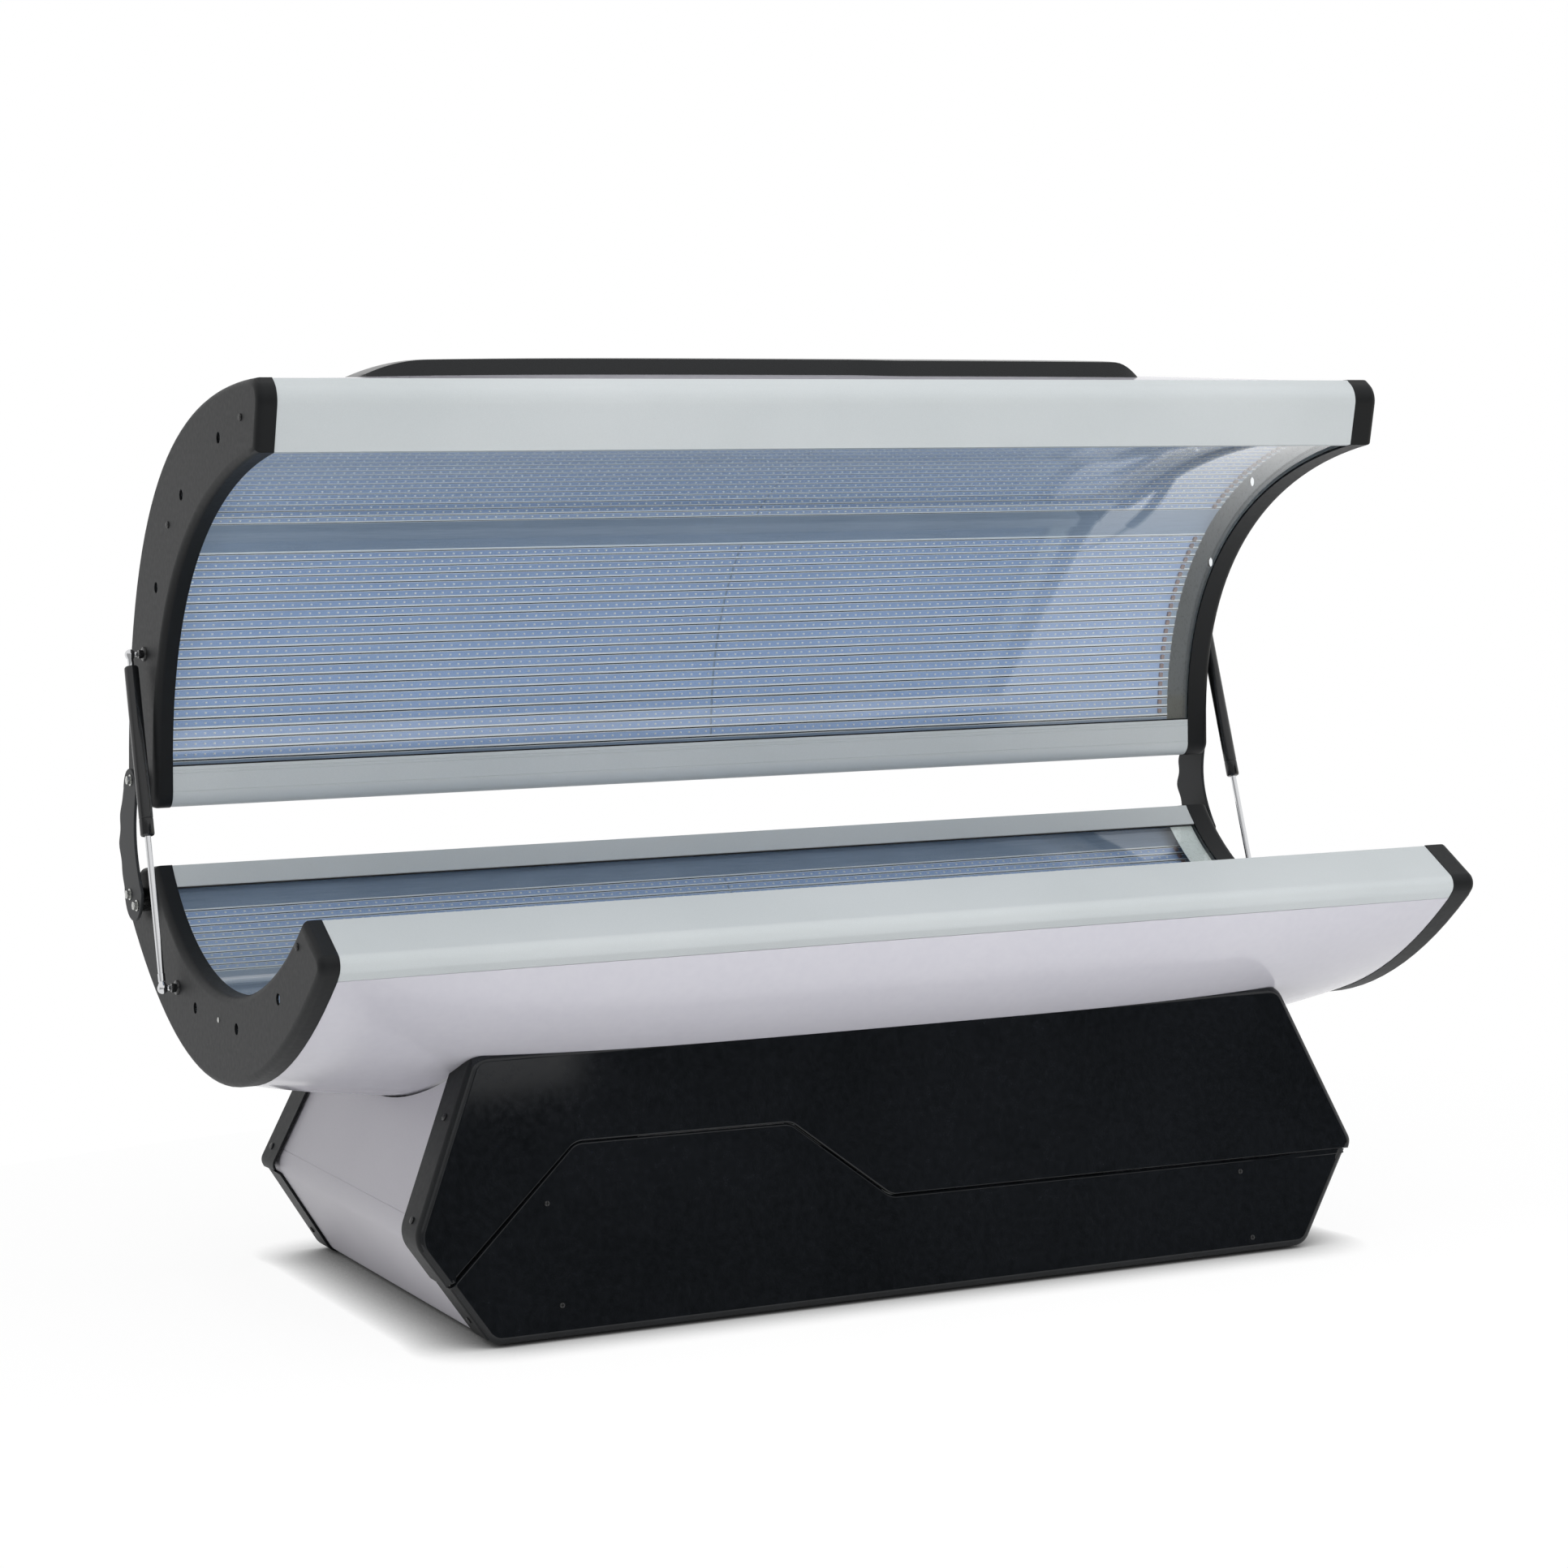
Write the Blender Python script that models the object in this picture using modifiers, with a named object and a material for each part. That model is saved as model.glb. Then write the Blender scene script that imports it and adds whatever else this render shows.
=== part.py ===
"""LED light therapy bed: a hinged canopy over a lower tub, both lined with LED rows, on a panelled base.

Lengths are metres. X runs along the bed, +Y points to its back and +Z up. A profile is a list of
points across the bed, (y, z) from the middle of the base at floor level, and is walked so that
its exposed side lies on the left.
"""

import math

import bmesh
import bpy
from mathutils import Matrix, Vector
from mathutils.geometry import interpolate_bezier

# Clearances
GAP = 0.0003
SHEET_SEAT = 0.0007
BELLY_SEAT = 0.0005

# Whole bed
BED_LENGTH = 2.000
SETBACK = 0.0193

# Lower tub, profile points in order from the front
LOWER_INNER = ((-0.399, 0.646), (-0.147, 0.426), (0.196, 0.453), (0.358, 0.652))
LOWER_OUTER = ((-0.466, 0.566), (-0.147, 0.278), (0.202, 0.287), (0.500, 0.556))
LOWER_NOSE = (-0.490, 0.594)
LOWER_SHOULDER = (0.445, 0.640)
LOWER_FACE = 0.030
BELLY_BULGE = 0.052

# Canopy at rest, raised
CANOPY_INNER = ((-0.190, 1.319), (0.111, 1.271), (0.357, 1.115), (0.350, 0.800))
CANOPY_OUTER = ((-0.182, 1.430), (0.180, 1.420), (0.510, 1.305), (0.508, 0.790))
CANOPY_NOSE = (-0.211, 1.410)
CANOPY_HEEL_DROP = 0.055
HEEL_FRONT_RADIUS = 0.024
HEEL_BACK_RADIUS = 0.040
CANOPY_BULGE = 0.034

# End caps, rails, sheets and shells
CAP_DEPTH = 0.0285
CAP_WALL = 0.004
CAP_ROUND = 0.012
CAP_PROUD = 0.0012
CAP_HOLE_DIA = 0.018
RAIL_WALL = 0.003
RAIL_LIP = 0.012
NOSE_RADIUS = 0.016
SHOULDER_RADIUS = 0.022
SHEET_THICK = 0.005
SHELL_WALL = 0.004
SHELL_SPANS = 12
SHELL_STEPS = 12
CANOPY_HOLES = ((-0.010, 1.342), (0.190, 1.253), (0.334, 1.103))
LOWER_HOLES = ((-0.290, 0.521), (-0.086, 0.450), (0.128, 0.454))

# LED trays and the formers behind them
LAMP_GAP = 0.026
TRAY_WALL = 0.002
TRAY_END_SPACE = 0.040
ROW_PITCH = 0.017
ROW_RIB_HEIGHT = 0.004
ROW_RIB_WIDTH = 0.0016
CANOPY_REAR_ROWS = 24
CANOPY_FRONT_ROWS = 18
CANOPY_BAR = 0.075
LOWER_SIDE_ROWS = 9
LOWER_MARGIN = 0.070
FORMER_THICK = 0.006
FORMER_STATION = 3

# Canopy top cover
TOPPER_LEFT_INSET = 0.162
TOPPER_RIGHT_INSET = 0.410
TOPPER_HEIGHT = 0.026
TOPPER_FRONT = 0.052
TOPPER_JOG = 0.015
TOPPER_BACK = 0.330
TOPPER_SWOOP = 0.110
TOPPER_CHAMFER = 0.045
TOPPER_WALL = 0.003

# Base
BASE_FOOT_INSET = 0.2875
BASE_KNEE_INSET = 0.177
BASE_TOP_INSET = 0.289
BASE_KNEE_Z = 0.162
BASE_TOP_Z = 0.421
BASE_DEPTH = 0.810
BASE_LEAN = 0.190
BASE_CLEAR = 0.004
KNEE_RADIUS = 0.040
CORNER_RADIUS = 0.030
COVER_WALL = 0.004
COVER_ROUND = 0.012
SEAM_ROUND = 0.003
SEAM = 0.0020
SERVICE_STEP = 0.004
FLANGE = 0.070
SEAM_RETURN = 0.012
SEAM_LINE = ((-0.559, 0.283), (-0.201, 0.280), (-0.040, 0.156))
SEAM_LEFT_Z = 0.094
SEAM_RIGHT_Z = 0.150
SEAM_RADIUS = 0.030
PANEL_WALL = 0.002

# Frame inside the base
TUBE = 0.030
FRAME_INSET = 0.0325
FRAME_HALF_DEPTH = 0.320
UPRIGHT_X = 0.4162
UPRIGHT_Y = 0.200
SADDLE_Z = 0.270
CRADLE_THICK = 0.012
CRADLE_HALF = 0.240
CRADLE_TOP = 0.400
FOOT_INSET = 0.080
FOOT_Y = 0.265
FOOT_DIA = 0.050
TRAY_PLATE = 0.002
TRAY_HALF_DEPTH = 0.150
SUPPLY_SIZE = (0.220, 0.110, 0.050)
CONTROL_SIZE = (0.260, 0.160, 0.060)
SUPPLY_X = 0.260

# Hinge arms
PIVOT = (0.416, 0.788)
ARM_OFF = 0.015
ARM_THICK = 0.005
ARM_TOP = (0.425, 0.770)
ARM_TOP_RADIUS = 0.036
ARM_END = (0.408, 0.610)
ARM_END_RADIUS = 0.050
ARM_BOW = 0.026
ARM_WAVE = 0.004
ARM_TOP_PULL = (0.014, -0.045)
ARM_END_PULL = (0.004, 0.070)
ARM_BOLTS = ((0.422, 0.602), (0.382, 0.588))
BOLT_DIA = 0.008
BOLT_HEAD_DIA = 0.015
BOLT_HEAD = 0.006
BOLT_REACH = 0.012
WASHER_THICK = 0.0025
SPACER_DIA = 0.020
HOLE_PLAY = 0.0005

# Gas struts
STRUT_OFF = 0.024
STRUT_UPPER = (0.402, 0.993)
STRUT_LOWER = (0.224, 0.474)
CYLINDER_DIA = 0.023
CYLINDER_BORE = 0.0176
CYLINDER_LENGTH = 0.282
ROD_DIA = 0.010
ROD_ENGAGED = 0.045
SOCKET_DIA = 0.017
BALL_DIA = 0.012
SOCKET_PLAY = 0.0006
STUD_FLANGE_DIA = 0.024
STUD_NECK_DIA = 0.006
STUD_NECK = 0.020

CAP_INNER_X = BED_LENGTH / 2 - CAP_DEPTH
SPAN_HALF = CAP_INNER_X - GAP
SHEET_LIFT = RAIL_WALL + SHEET_SEAT
TRAY_LIFT = SHEET_LIFT + SHEET_THICK + LAMP_GAP
FRAME_Z = BASE_CLEAR + COVER_WALL + GAP
CANOPY_HEEL_Z = CANOPY_INNER[3][1] - CANOPY_HEEL_DROP
TOPPER_LEFT = TOPPER_LEFT_INSET - BED_LENGTH / 2
TOPPER_RIGHT = BED_LENGTH / 2 - TOPPER_RIGHT_INSET
BASE_FOOT_HALF = BED_LENGTH / 2 - BASE_FOOT_INSET
BASE_KNEE_HALF = BED_LENGTH / 2 - BASE_KNEE_INSET
BASE_TOP_HALF = BED_LENGTH / 2 - BASE_TOP_INSET
FRAME_HALF_LENGTH = BASE_FOOT_HALF - FRAME_INSET
FOOT_X = FRAME_HALF_LENGTH - FOOT_INSET

for old in list(bpy.data.objects):
    bpy.data.objects.remove(old)

part = bpy.data.collections.new("led_therapy_bed")
cutters = bpy.data.collections.new("cutters")
cutters.hide_render = True
for group in (part, cutters):
    bpy.context.scene.collection.children.link(group)


def finish(name, colour, roughness, metallic=0.0):
    material = bpy.data.materials.new(name)
    material.use_nodes = True
    shader = material.node_tree.nodes["Principled BSDF"]
    shader.inputs["Base Color"].default_value = (*colour, 1.0)
    shader.inputs["Roughness"].default_value = roughness
    shader.inputs["Metallic"].default_value = metallic
    return material


BLACK_GLOSS = finish("black_gloss_abs", (0.010, 0.011, 0.012), 0.16)
WHITE_GLOSS = finish("white_gloss_abs", (0.62, 0.62, 0.68), 0.12)
WHITE_PAINT = finish("white_painted_sheet", (0.68, 0.68, 0.70), 0.45)
SATIN_ALUMINIUM = finish("satin_aluminium", (0.60, 0.63, 0.62), 0.32, 1.0)
CLEAR_ACRYLIC = finish("clear_acrylic", (0.66, 0.74, 0.82), 0.05)
LAMP_TRAY = finish("lamp_tray_aluminium", (0.32, 0.40, 0.52), 0.40, 0.3)
DARK_STEEL = finish("dark_painted_steel", (0.055, 0.057, 0.060), 0.42)
FRAME_PAINT = finish("frame_paint", (0.12, 0.12, 0.13), 0.55)
CHROME = finish("bright_chrome", (0.80, 0.80, 0.82), 0.08, 1.0)
ZINC = finish("zinc_steel", (0.62, 0.63, 0.65), 0.28, 1.0)
RUBBER = finish("black_rubber", (0.02, 0.02, 0.02), 0.80)
SUPPLY_CASE = finish("perforated_case", (0.45, 0.47, 0.48), 0.45, 0.8)

root = bpy.data.objects.new("bed_root", None)
root.location = (0.0, -SETBACK, 0.0)
hinge = bpy.data.objects.new("canopy_hinge", None)
hinge.parent = root
hinge.location = (0.0, *PIVOT)
for empty in (root, hinge):
    part.objects.link(empty)


def add(name, bm, material=None, parent=root):
    """Puts a mesh drawn from the middle of the base into the bed, or among the cutters."""
    mesh = bpy.data.meshes.new(name)
    bm.to_mesh(mesh)
    bm.free()
    obj = bpy.data.objects.new(name, mesh)
    obj.parent = parent
    if parent is not root:
        obj.location = -Vector(parent.location)
    if material is None:
        obj.display_type = "WIRE"
        obj.hide_render = True
        cutters.objects.link(obj)
    else:
        mesh.materials.append(material)
        part.objects.link(obj)
    return obj


def combine(obj, other, operation):
    step = obj.modifiers.new(operation.lower() + "_" + other.name, "BOOLEAN")
    step.operation = operation
    step.solver = "EXACT"
    step.object = other


def thicken(obj, wall, even=True):
    step = obj.modifiers.new("wall", "SOLIDIFY")
    step.thickness = wall
    step.offset = -1.0
    step.use_even_offset = even


# Profiles across the bed


def curve(control, steps):
    ends = [Vector((y, z, 0.0)) for y, z in control]
    made = interpolate_bezier(ends[0], ends[1], ends[2], ends[3], steps + 1)
    return [Vector((point.x, point.y)) for point in made]


def points(*pairs):
    return [Vector(pair) for pair in pairs]


def rounded(path, radii, closed=False, steps=4):
    """The path with an arc of the given radius at each listed corner."""
    made = []
    count = len(path)
    for index, corner in enumerate(path):
        radius = radii.get(index, 0.0)
        if radius <= 0.0 or (not closed and index in (0, count - 1)):
            made.append(corner.copy())
            continue
        back = (path[index - 1] - corner).normalized()
        ahead = (path[(index + 1) % count] - corner).normalized()
        half = back.angle(ahead) / 2
        reach = radius / math.tan(half)
        centre = corner + (back + ahead).normalized() * (radius / math.sin(half))
        first = corner + back * reach - centre
        last = corner + ahead * reach - centre
        turn = math.atan2(first.x * last.y - first.y * last.x, first.dot(last))
        for step in range(steps + 1):
            spin = Matrix.Rotation(turn * step / steps, 2)
            made.append(centre + spin @ first)
    return made


def left_of(direction):
    return Vector((-direction.y, direction.x)).normalized()


def offset(path, distance, closed=False):
    """The path moved to its left, corners kept sharp."""
    made = []
    count = len(path)
    for index, point in enumerate(path):
        before = path[index - 1] if closed or index else None
        after = path[(index + 1) % count] if closed or index < count - 1 else None
        sides = []
        if before is not None:
            sides.append(left_of(point - before))
        if after is not None:
            sides.append(left_of(after - point))
        normal = sum(sides, Vector((0.0, 0.0))).normalized()
        made.append(point + normal * (distance / normal.dot(sides[0])))
    return made


def length(path):
    return sum((b - a).length for a, b in zip(path, path[1:]))


def at(path, distance):
    """The point this far along the path, and the left normal there."""
    for a, b in zip(path, path[1:]):
        step = (b - a).length
        if distance <= step or b is path[-1]:
            return a + (b - a) * (distance / step), left_of(b - a)
        distance -= step


def cut_ends(path, start, end):
    """The path without its first and last stretch."""
    total = length(path)
    kept, walked = [at(path, start)[0]], 0.0
    for a, b in zip(path, path[1:]):
        walked += (b - a).length
        if start + 1e-6 < walked < total - end - 1e-6:
            kept.append(b.copy())
    kept.append(at(path, total - end)[0])
    return kept


# Solids


def strip(path, low, high):
    """A face strip along X under the path, exposed side out."""
    bm = bmesh.new()
    steps = len(path) - 1
    bmesh.ops.create_grid(bm, x_segments=1, y_segments=steps, size=0.5)
    for vert in bm.verts:
        point = path[round((vert.co.y + 0.5) * steps)]
        vert.co = (high if vert.co.x > 0 else low, point.x, point.y)
    return bm


def prism(outline, low, high):
    bm = bmesh.new()
    face = bm.faces.new([bm.verts.new((low, p.x, p.y)) for p in outline])
    moved = bmesh.ops.extrude_face_region(bm, geom=[face], use_keep_orig=True)
    for vert in (g for g in moved["geom"] if isinstance(g, bmesh.types.BMVert)):
        vert.co.x = high
    bmesh.ops.recalc_face_normals(bm, faces=bm.faces)
    return bm


def block(low, high):
    bm = bmesh.new()
    bmesh.ops.create_cube(bm, size=1.0)
    low, high = Vector(low), Vector(high)
    for vert in bm.verts:
        vert.co = (low + high) / 2 + Vector(a * b for a, b in zip(vert.co, high - low))
    return bm


def pin(centre, low, high, diameter, sides=12):
    """A cylinder along X through a point across the bed."""
    bm = bmesh.new()
    turn = Matrix.Rotation(math.pi / 2, 4, "Y")
    middle = Matrix.Translation(((low + high) / 2, *centre))
    bmesh.ops.create_cone(
        bm,
        cap_ends=True,
        segments=sides,
        radius1=diameter / 2,
        radius2=diameter / 2,
        depth=abs(high - low),
        matrix=middle @ turn,
    )
    return bm


def turned(name, profile, material, parent, place, direction, steps=12):
    """A lathe shape: (radius, height) points, outer side from the top down, along a direction."""
    bm = bmesh.new()
    verts = [bm.verts.new((r, 0.0, h)) for r, h in profile]
    for a, b in zip(verts, verts[1:]):
        bm.edges.new((a, b))
    obj = add(name, bm, material, parent)
    obj.location = Vector(obj.location) + Vector(place)
    obj.rotation_mode = "QUATERNION"
    obj.rotation_quaternion = Vector(direction).to_track_quat("Z", "Y")
    spin = obj.modifiers.new("lathe", "SCREW")
    spin.steps = spin.render_steps = steps
    spin.use_merge_vertices = True
    spin.merge_threshold = 0.00001
    return obj


# Tub and canopy

lower_inner = curve(LOWER_INNER, 14)
lower_outer = curve(LOWER_OUTER, SHELL_STEPS)[::-1]
canopy_inner = curve(CANOPY_INNER, 14)[::-1]
canopy_outer = curve(CANOPY_OUTER, SHELL_STEPS)

lower_rear_face = cut_ends(lower_inner, length(lower_inner) - LOWER_FACE - RAIL_LIP, 0.0)
canopy_rear_lip = cut_ends(canopy_inner, 0.0, length(canopy_inner) - RAIL_LIP)

RAILS = {
    "lower_front_rail": rounded(
        [lower_outer[-1], Vector(LOWER_NOSE), *cut_ends(lower_inner, 0.0, length(lower_inner) - RAIL_LIP)],
        {1: NOSE_RADIUS},
    ),
    "lower_rear_rail": rounded(
        [*lower_rear_face, Vector(LOWER_SHOULDER), lower_outer[0]],
        {len(lower_rear_face): SHOULDER_RADIUS},
    ),
    "canopy_front_rail": rounded(
        [*cut_ends(canopy_inner, length(canopy_inner) - RAIL_LIP, 0.0), Vector(CANOPY_NOSE), canopy_outer[0]],
        {len(cut_ends(canopy_inner, length(canopy_inner) - RAIL_LIP, 0.0)): NOSE_RADIUS},
    ),
    "canopy_rear_rail": rounded(
        [
            canopy_outer[-1],
            Vector((CANOPY_OUTER[3][0], CANOPY_HEEL_Z)),
            Vector((CANOPY_INNER[3][0], CANOPY_HEEL_Z)),
            *canopy_rear_lip,
        ],
        {1: HEEL_BACK_RADIUS, 2: HEEL_FRONT_RADIUS},
    ),
}

for name, path in RAILS.items():
    rail = add(name, strip(path, -SPAN_HALF, SPAN_HALF), SATIN_ALUMINIUM, hinge if "canopy" in name else root)
    thicken(rail, RAIL_WALL)


def cap(name, outline, side, holes, parent):
    """A moulded end cap: open on its inner side, its outer rim rounded."""
    bm = bmesh.new()
    wide = offset(outline, CAP_PROUD, closed=True)
    face = bm.faces.new([bm.verts.new((side * BED_LENGTH / 2, p.x, p.y)) for p in wide])
    weight = bm.edges.layers.float.new("bevel_weight_edge")
    rim = list(face.edges)
    made = bmesh.ops.extrude_edge_only(bm, edges=rim)
    for vert in (g for g in made["geom"] if isinstance(g, bmesh.types.BMVert)):
        vert.co.x = side * CAP_INNER_X
    for edge in rim:
        edge[weight] = 1.0
    bmesh.ops.recalc_face_normals(bm, faces=bm.faces)
    if face.normal.x * side < 0:
        bmesh.ops.reverse_faces(bm, faces=bm.faces)
    obj = add(name, bm, BLACK_GLOSS, parent)
    soft = obj.modifiers.new("rim", "BEVEL")
    soft.limit_method = "WEIGHT"
    soft.width = CAP_ROUND
    soft.segments = 2
    soft.use_clamp_overlap = False
    thicken(obj, CAP_WALL)
    for index, centre in enumerate(holes):
        drill(obj, f"{name}_hole_{index}", centre, side, CAP_HOLE_DIA)
    return obj


def drill(obj, name, centre, side, diameter):
    """A round hole through the outer wall of a cap or through an arm."""
    low, high = sorted((side * (BED_LENGTH / 2 - 2 * CAP_WALL), side * (BED_LENGTH / 2 + 2 * ARM_OFF)))
    combine(obj, add(name, pin(centre, low, high, diameter), None, obj.parent), "DIFFERENCE")


lower_ring = rounded(
    [*lower_inner, Vector(LOWER_SHOULDER), *lower_outer, Vector(LOWER_NOSE)],
    {len(lower_inner): SHOULDER_RADIUS, len(lower_inner) + 1 + len(lower_outer): NOSE_RADIUS},
    closed=True,
)
heel_back = Vector((CANOPY_OUTER[3][0], CANOPY_HEEL_Z))
heel_front = Vector((CANOPY_INNER[3][0], CANOPY_HEEL_Z))
canopy_ring = rounded(
    [*canopy_outer, heel_back, heel_front, *canopy_inner, Vector(CANOPY_NOSE)],
    {
        len(canopy_outer): HEEL_BACK_RADIUS,
        len(canopy_outer) + 1: HEEL_FRONT_RADIUS,
        len(canopy_outer) + 2 + len(canopy_inner): NOSE_RADIUS,
    },
    closed=True,
)

SIDES = (("left", -1), ("right", 1))
caps = {}
for side_name, side in SIDES:
    caps["lower", side] = cap(f"lower_{side_name}_cap", lower_ring, side, LOWER_HOLES, root)
    caps["canopy", side] = cap(f"canopy_{side_name}_cap", canopy_ring, side, CANOPY_HOLES, hinge)


def butt(rail, shell):
    """How far a shell edge stays from a rail's end so that their walls only meet."""
    turn = rail.angle(shell)
    return GAP + RAIL_WALL * math.sin(turn) + SHELL_WALL * abs(math.sin(2 * turn)) / 4


def shell_path(path, first_rail, last_rail):
    start = butt(first_rail[-1] - first_rail[-2], path[1] - path[0])
    end = butt(last_rail[0] - last_rail[1], path[-2] - path[-1])
    trimmed = cut_ends(path, start, end)
    total = length(trimmed)
    return [at(trimmed, total * i / SHELL_STEPS)[0] for i in range(SHELL_STEPS + 1)]


belly_path = shell_path(lower_outer, RAILS["lower_rear_rail"], RAILS["lower_front_rail"])
crown_path = shell_path(canopy_outer, RAILS["canopy_front_rail"], RAILS["canopy_rear_rail"])


def pillow(path, bulge, x, share, lift=0.0):
    """A point on a shell that swells outward between its four edges."""
    spot, normal = at(path, length(path) * share)
    index = round(share * SHELL_STEPS)
    if 0 < index < SHELL_STEPS and abs(share * SHELL_STEPS - index) < 1e-6:
        normal = (left_of(path[index] - path[index - 1]) + left_of(path[index + 1] - path[index])).normalized()
    swell = bulge * (1 - (x / SPAN_HALF) ** 4) * (1 - (2 * share - 1) ** 4)
    spot = spot + normal * (swell + lift)
    return Vector((x, spot.x, spot.y))


def pillow_patch(path, bulge, lift=0.0):
    bm = bmesh.new()
    bmesh.ops.create_grid(bm, x_segments=SHELL_SPANS, y_segments=SHELL_STEPS, size=0.5)
    for vert in bm.verts:
        span = round((vert.co.x + 0.5) * SHELL_SPANS)
        step = round((vert.co.y + 0.5) * SHELL_STEPS)
        x = SPAN_HALF * (2 * span / SHELL_SPANS - 1)
        vert.co = pillow(path, bulge, x, step / SHELL_STEPS, lift)
    bmesh.ops.triangulate(bm, faces=bm.faces, quad_method="FIXED")
    return bm


def shell(name, path, bulge, parent, reach):
    """The shell, and a deep copy of its outside that trims what is fitted against it."""
    obj = add(name, pillow_patch(path, bulge), WHITE_GLOSS, parent)
    thicken(obj, SHELL_WALL)
    trim = add(name + "_trim", pillow_patch(path, bulge, BELLY_SEAT), None, parent)
    thicken(trim, reach)
    return trim


belly_trim = shell("lower_shell", belly_path, BELLY_BULGE, root, 0.160)
crown_trim = shell("canopy_shell", crown_path, CANOPY_BULGE, hinge, 0.030)


def window(name, path, parent, start, end):
    """The clear sheet in front of the LED rows."""
    made = cut_ends(offset(path, -SHEET_LIFT), start, end)
    thicken(add(name, strip(made, -SPAN_HALF, SPAN_HALF), CLEAR_ACRYLIC, parent), SHEET_THICK)


window("lower_acrylic", lower_inner, root, RAIL_WALL + GAP, LOWER_FACE)
window("canopy_acrylic", canopy_inner, hinge, 0.0, RAIL_WALL + GAP)


def tray(name, path, rows, parent):
    """A lamp tray with a rib on each side of every LED row, rows as (start share, count)."""
    base = offset(path, -TRAY_LIFT)
    total = length(base)
    top, spot = [], 0.0
    for share, count in rows:
        while spot < total * share - 0.025:
            top.append(at(base, spot)[0])
            spot += 0.050
        for row in range(count + 1):
            middle = total * share + row * ROW_PITCH
            for shift, height in ((-1, 0), (-1, 1), (1, 1), (1, 0)):
                point, normal = at(base, middle + shift * ROW_RIB_WIDTH / 2)
                top.append(point + normal * height * ROW_RIB_HEIGHT)
        spot = middle + 0.025
    while spot < total - 0.010:
        top.append(at(base, spot)[0])
        spot += 0.050
    top.append(base[-1])
    outline = top + offset(base, -TRAY_WALL)[::-1]
    half = SPAN_HALF - TRAY_END_SPACE
    add(name, prism(outline, -half, half), LAMP_TRAY, parent)


tray_total = length(offset(lower_inner, -TRAY_LIFT))
side_rows = LOWER_SIDE_ROWS * ROW_PITCH
tray(
    "lower_led_tray",
    lower_inner,
    (
        (LOWER_MARGIN / tray_total, LOWER_SIDE_ROWS),
        ((tray_total - LOWER_MARGIN - side_rows) / tray_total, LOWER_SIDE_ROWS),
    ),
    root,
)
tray_total = length(offset(canopy_inner, -TRAY_LIFT))
rear_rows = CANOPY_REAR_ROWS * ROW_PITCH
tray(
    "canopy_led_tray",
    canopy_inner,
    (
        (0.020 / tray_total, CANOPY_REAR_ROWS),
        ((0.020 + rear_rows + CANOPY_BAR) / tray_total, CANOPY_FRONT_ROWS),
    ),
    hinge,
)


def former(name, inner, outer, bulge, span, parent):
    """A plate between the back of a tray and the inside of its shell."""
    x = SPAN_HALF * (2 * span / SHELL_SPANS - 1)
    near = offset(inner, -(TRAY_LIFT + TRAY_WALL + GAP))[2:-2]
    far = [
        pillow(outer, bulge, x, step / SHELL_STEPS, -(SHELL_WALL + SHEET_SEAT))
        for step in range(1, SHELL_STEPS)
    ]
    outline = near + [Vector((p.y, p.z)) for p in far]
    add(name, prism(outline, x - FORMER_THICK / 2, x + FORMER_THICK / 2), FRAME_PAINT, parent)


for side_name, side in SIDES:
    span = FORMER_STATION if side < 0 else SHELL_SPANS - FORMER_STATION
    former(f"lower_{side_name}_former", lower_inner, belly_path, BELLY_BULGE, span, root)
    former(f"canopy_{side_name}_former", canopy_inner, crown_path, CANOPY_BULGE, span, hinge)


# Canopy top cover


def topper():
    """A raised cover laid on the canopy, its left end swept down and its right end chamfered."""
    total = length(crown_path)
    spans, steps = 14, 3
    bm = bmesh.new()
    bmesh.ops.create_grid(bm, x_segments=spans, y_segments=steps, size=0.5)
    made = bmesh.ops.extrude_face_region(bm, geom=bm.faces[:])
    raised = {g for g in made["geom"] if isinstance(g, bmesh.types.BMVert)}
    for vert in bm.verts:
        u, v = vert.co.x + 0.5, vert.co.y + 0.5
        ends = 0.5 - 0.5 * math.cos(math.pi * u)
        x = TOPPER_LEFT + (TOPPER_RIGHT - TOPPER_LEFT) * ends
        jog = min(1.0, max(0.0, (x - 0.03) / 0.07))
        front = TOPPER_FRONT - TOPPER_JOG * jog
        rise = min(1.0, (x - TOPPER_LEFT) / TOPPER_SWOOP, (TOPPER_RIGHT - x) / TOPPER_CHAMFER)
        height = TOPPER_HEIGHT * (1 - (1 - rise) ** 2) + SHELL_WALL / 4
        lean = TOPPER_HEIGHT / 3 if vert in raised else 0.0
        first, last = front + lean, TOPPER_BACK - 2 * lean
        share = (first + (last - first) * v) / total
        vert.co = pillow(crown_path, CANOPY_BULGE, x, share, height if vert in raised else -2 * SHELL_WALL)
    bmesh.ops.recalc_face_normals(bm, faces=bm.faces)
    if sum(face.normal.z for face in bm.faces) < 0:
        bmesh.ops.reverse_faces(bm, faces=bm.faces)
    obj = add("canopy_top_cover", bm, BLACK_GLOSS, hinge)
    thicken(obj, TOPPER_WALL, even=False)
    combine(obj, crown_trim, "DIFFERENCE")


topper()


# Base covers and end sheets


def hexagon_x(z):
    """Half width of the base outline at a height."""
    if z < BASE_KNEE_Z:
        return BASE_FOOT_HALF + (BASE_KNEE_HALF - BASE_FOOT_HALF) * z / BASE_KNEE_Z
    rise = (z - BASE_KNEE_Z) / (BASE_TOP_Z - BASE_KNEE_Z)
    return BASE_KNEE_HALF + (BASE_TOP_HALF - BASE_KNEE_HALF) * rise


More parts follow.
